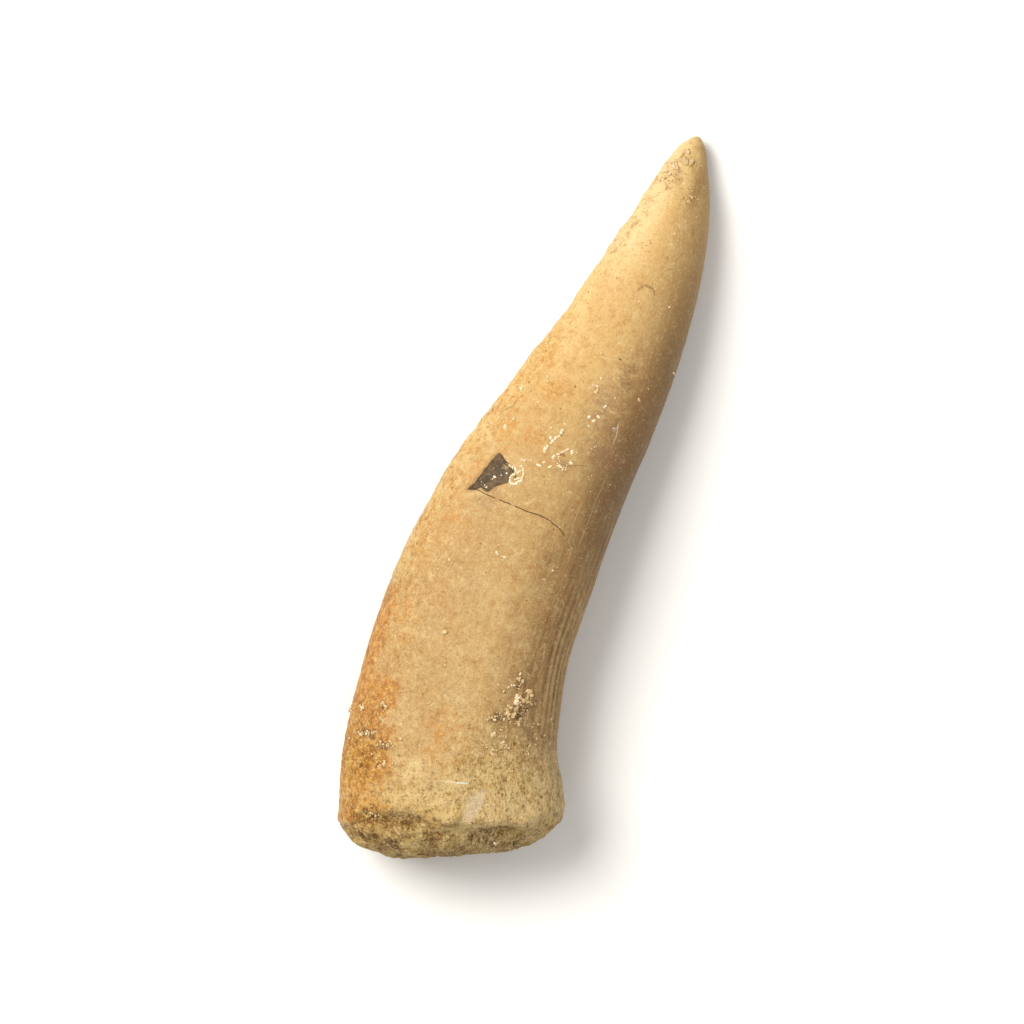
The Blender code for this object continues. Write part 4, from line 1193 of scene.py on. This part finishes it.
def grain_places(rng):
    """Every grain: along, aside, diameter, shade and side."""
    places = trail_places(rng, TRAILS, 1) + trail_places(rng, UNDERSIDE_TRAILS, -1)
    places += [(along, aside, 1.1 * size, rng.uniform(0.68, 0.92), 1) for along, aside, size in BEADS]
    places += [(along, aside, 1.6 * radius, 1.0, 1) for along, aside, radius in CHIP_GLINTS]
    named = len(places)
    while len(places) < named + SCATTERED_GRAINS:
        along, across = rng.uniform(*SCATTER_SPAN), rng.uniform(-0.96, 0.96)
        wanted = 0.3 + 0.7 * smooth_step(12, 4, along) + 0.3 * smooth_step(20, 30, along)
        if rng.random() < wanted:
            section, _ = section_at(np.array(along))
            size = 0.05 + 0.11 * rng.random() ** 3
            side = 1 if rng.random() < 0.6 else -1
            places.append((along, section[1] + across * section[2], size, rng.uniform(0.2, 0.85), side))
    return places


def sand_grains(points, normals, rng):
    """The grains' corners in millimetres, faces and shades, and how far each surface point is from one."""
    ball_corners, ball_faces = ball()
    flat, facing = points.reshape(-1, 3), normals.reshape(-1, 3)
    gap = np.full(len(flat), 2.0)
    corners, faces, tones = [], [], []
    for along, aside, size, tone, side in grain_places(rng):
        away = np.hypot(flat[:, 1] - along, flat[:, 0] - aside) + 9.0 * (facing[:, 2] * side < 0.02)
        nearest = np.argmin(away)
        if away[nearest] > SEAT_REACH:
            continue
        radius, outwards = size / 2, facing[nearest]
        grain = sand_grain(rng, ball_corners)
        grain = grain - GRAIN_FLATNESS * (grain @ outwards)[:, None] * outwards
        raised = outwards * radius * rng.uniform(*GRAIN_SINKING)
        middle = np.array([aside, along, flat[nearest, 2]]) + raised
        faces.append(ball_faces + len(corners) * len(ball_corners))
        corners.append(middle + grain * radius)
        tones.append(np.full(len(ball_corners), tone))
        # Grains that get painted shadow and dirt round them
        if size > DARK_RIMMED_GRAIN_SIZE and (tone < 0.5 or along < 13 or along > 45):
            gap = np.minimum(gap, np.linalg.norm(flat - middle, axis=1) - 0.8 * radius)
    joined = [np.concatenate(parts) for parts in (corners, faces, tones)]
    return *joined, gap.reshape(points.shape[:2])


def build_fang():
    """The fang's surface, which stands for the solid, and the sand on it."""
    rng = np.random.default_rng(RANDOM_START)
    points, normals, fields = fang_surface(rng)
    corners, faces, tones, fields["grain_gap"] = sand_grains(points, normals, rng)
    shift = plan_shift(points)
    shell = (with_ends(points) + shift) * MM
    fang = add_piece("fang_surface", shell, ring_faces(*points.shape[:2]), fossil_material())
    fang.data.shade_smooth()
    for name, values in fields.items():
        give_field(fang.data, name, with_ends(values))
    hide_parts("tooth")
    corners = corners + shift
    corners[:, 2] = corners[:, 2].clip(0)
    sand = add_piece("sand_grains", corners * MM, faces.tolist(), grain_material())
    give_field(sand.data, "tone", tones)
    return shift


def photo_axes():
    """The photograph's right, its up and the way to its camera, in the model's axes."""
    lean = math.radians(PHOTO_LEAN)
    right = Vector((math.cos(lean), math.sin(lean), 0))
    up = Vector((-math.sin(lean), math.cos(lean), 0))
    return right, up, Vector((0, 0, 1))


def add_camera(middle):
    camera = add_object("camera", bpy.data.cameras.new("camera"))
    camera.data.sensor_width = SENSOR_WIDTH
    camera.data.lens = SENSOR_WIDTH * CAMERA_DISTANCE / PHOTO_SPAN
    camera.data.clip_start = 0.01
    camera.location = middle + Vector((0, 0, CAMERA_DISTANCE * MM))
    camera.rotation_euler = (0, 0, math.radians(PHOTO_LEAN))
    bpy.context.scene.camera = camera


def add_light(name, aim, towards, distance, size, power, colour):
    """A square area light that faces its aim from the given side."""
    lamp = add_object(name, bpy.data.lights.new(name, "AREA"))
    lamp.data.size = size
    lamp.data.energy = power
    lamp.data.color = colour
    towards = towards.normalized()
    lamp.location = aim + towards * distance
    lamp.rotation_euler = towards.to_track_quat("Z", "Y").to_euler()


def add_studio(middle):
    """Soft light from the photograph's upper left, a pale surround and a pale floor."""
    right, up, above = photo_axes()
    add_light(
        "key", middle, -0.72 * right + 0.50 * up + 1.1 * above,
        distance=0.45, size=0.28, power=2.48, colour=(1.0, 0.96, 0.90),
    )
    add_light(
        "fill", middle, 0.5 * right - 0.6 * up + 1.2 * above,
        distance=0.6, size=0.5, power=0.45, colour=(1.0, 0.98, 0.95),
    )
    world = bpy.data.worlds.new("surround")
    world.use_nodes = True
    background = world.node_tree.nodes["Background"].inputs
    background["Color"].default_value = (1.0, 0.99, 0.97, 1.0)
    background["Strength"].default_value = 0.52
    bpy.context.scene.world = world
    paper = Shade("floor").finish(Base_Color=(0.9, 0.9, 0.89, 1.0), Roughness=0.9)
    square = [(-FLOOR_REACH, -FLOOR_REACH, 0), (FLOOR_REACH, -FLOOR_REACH, 0),
              (FLOOR_REACH, FLOOR_REACH, 0), (-FLOOR_REACH, FLOOR_REACH, 0)]
    floor = add_mesh("floor", square, [(0, 1, 2, 3)], paper)


shift = build_fang()
photo_middle = Vector((PHOTO_MIDDLE[1] + shift[0], PHOTO_MIDDLE[0] + shift[1], WIDEST_LEVEL)) * MM
add_camera(photo_middle)
add_studio(photo_middle)
bpy.context.scene.view_settings.view_transform = "Standard"
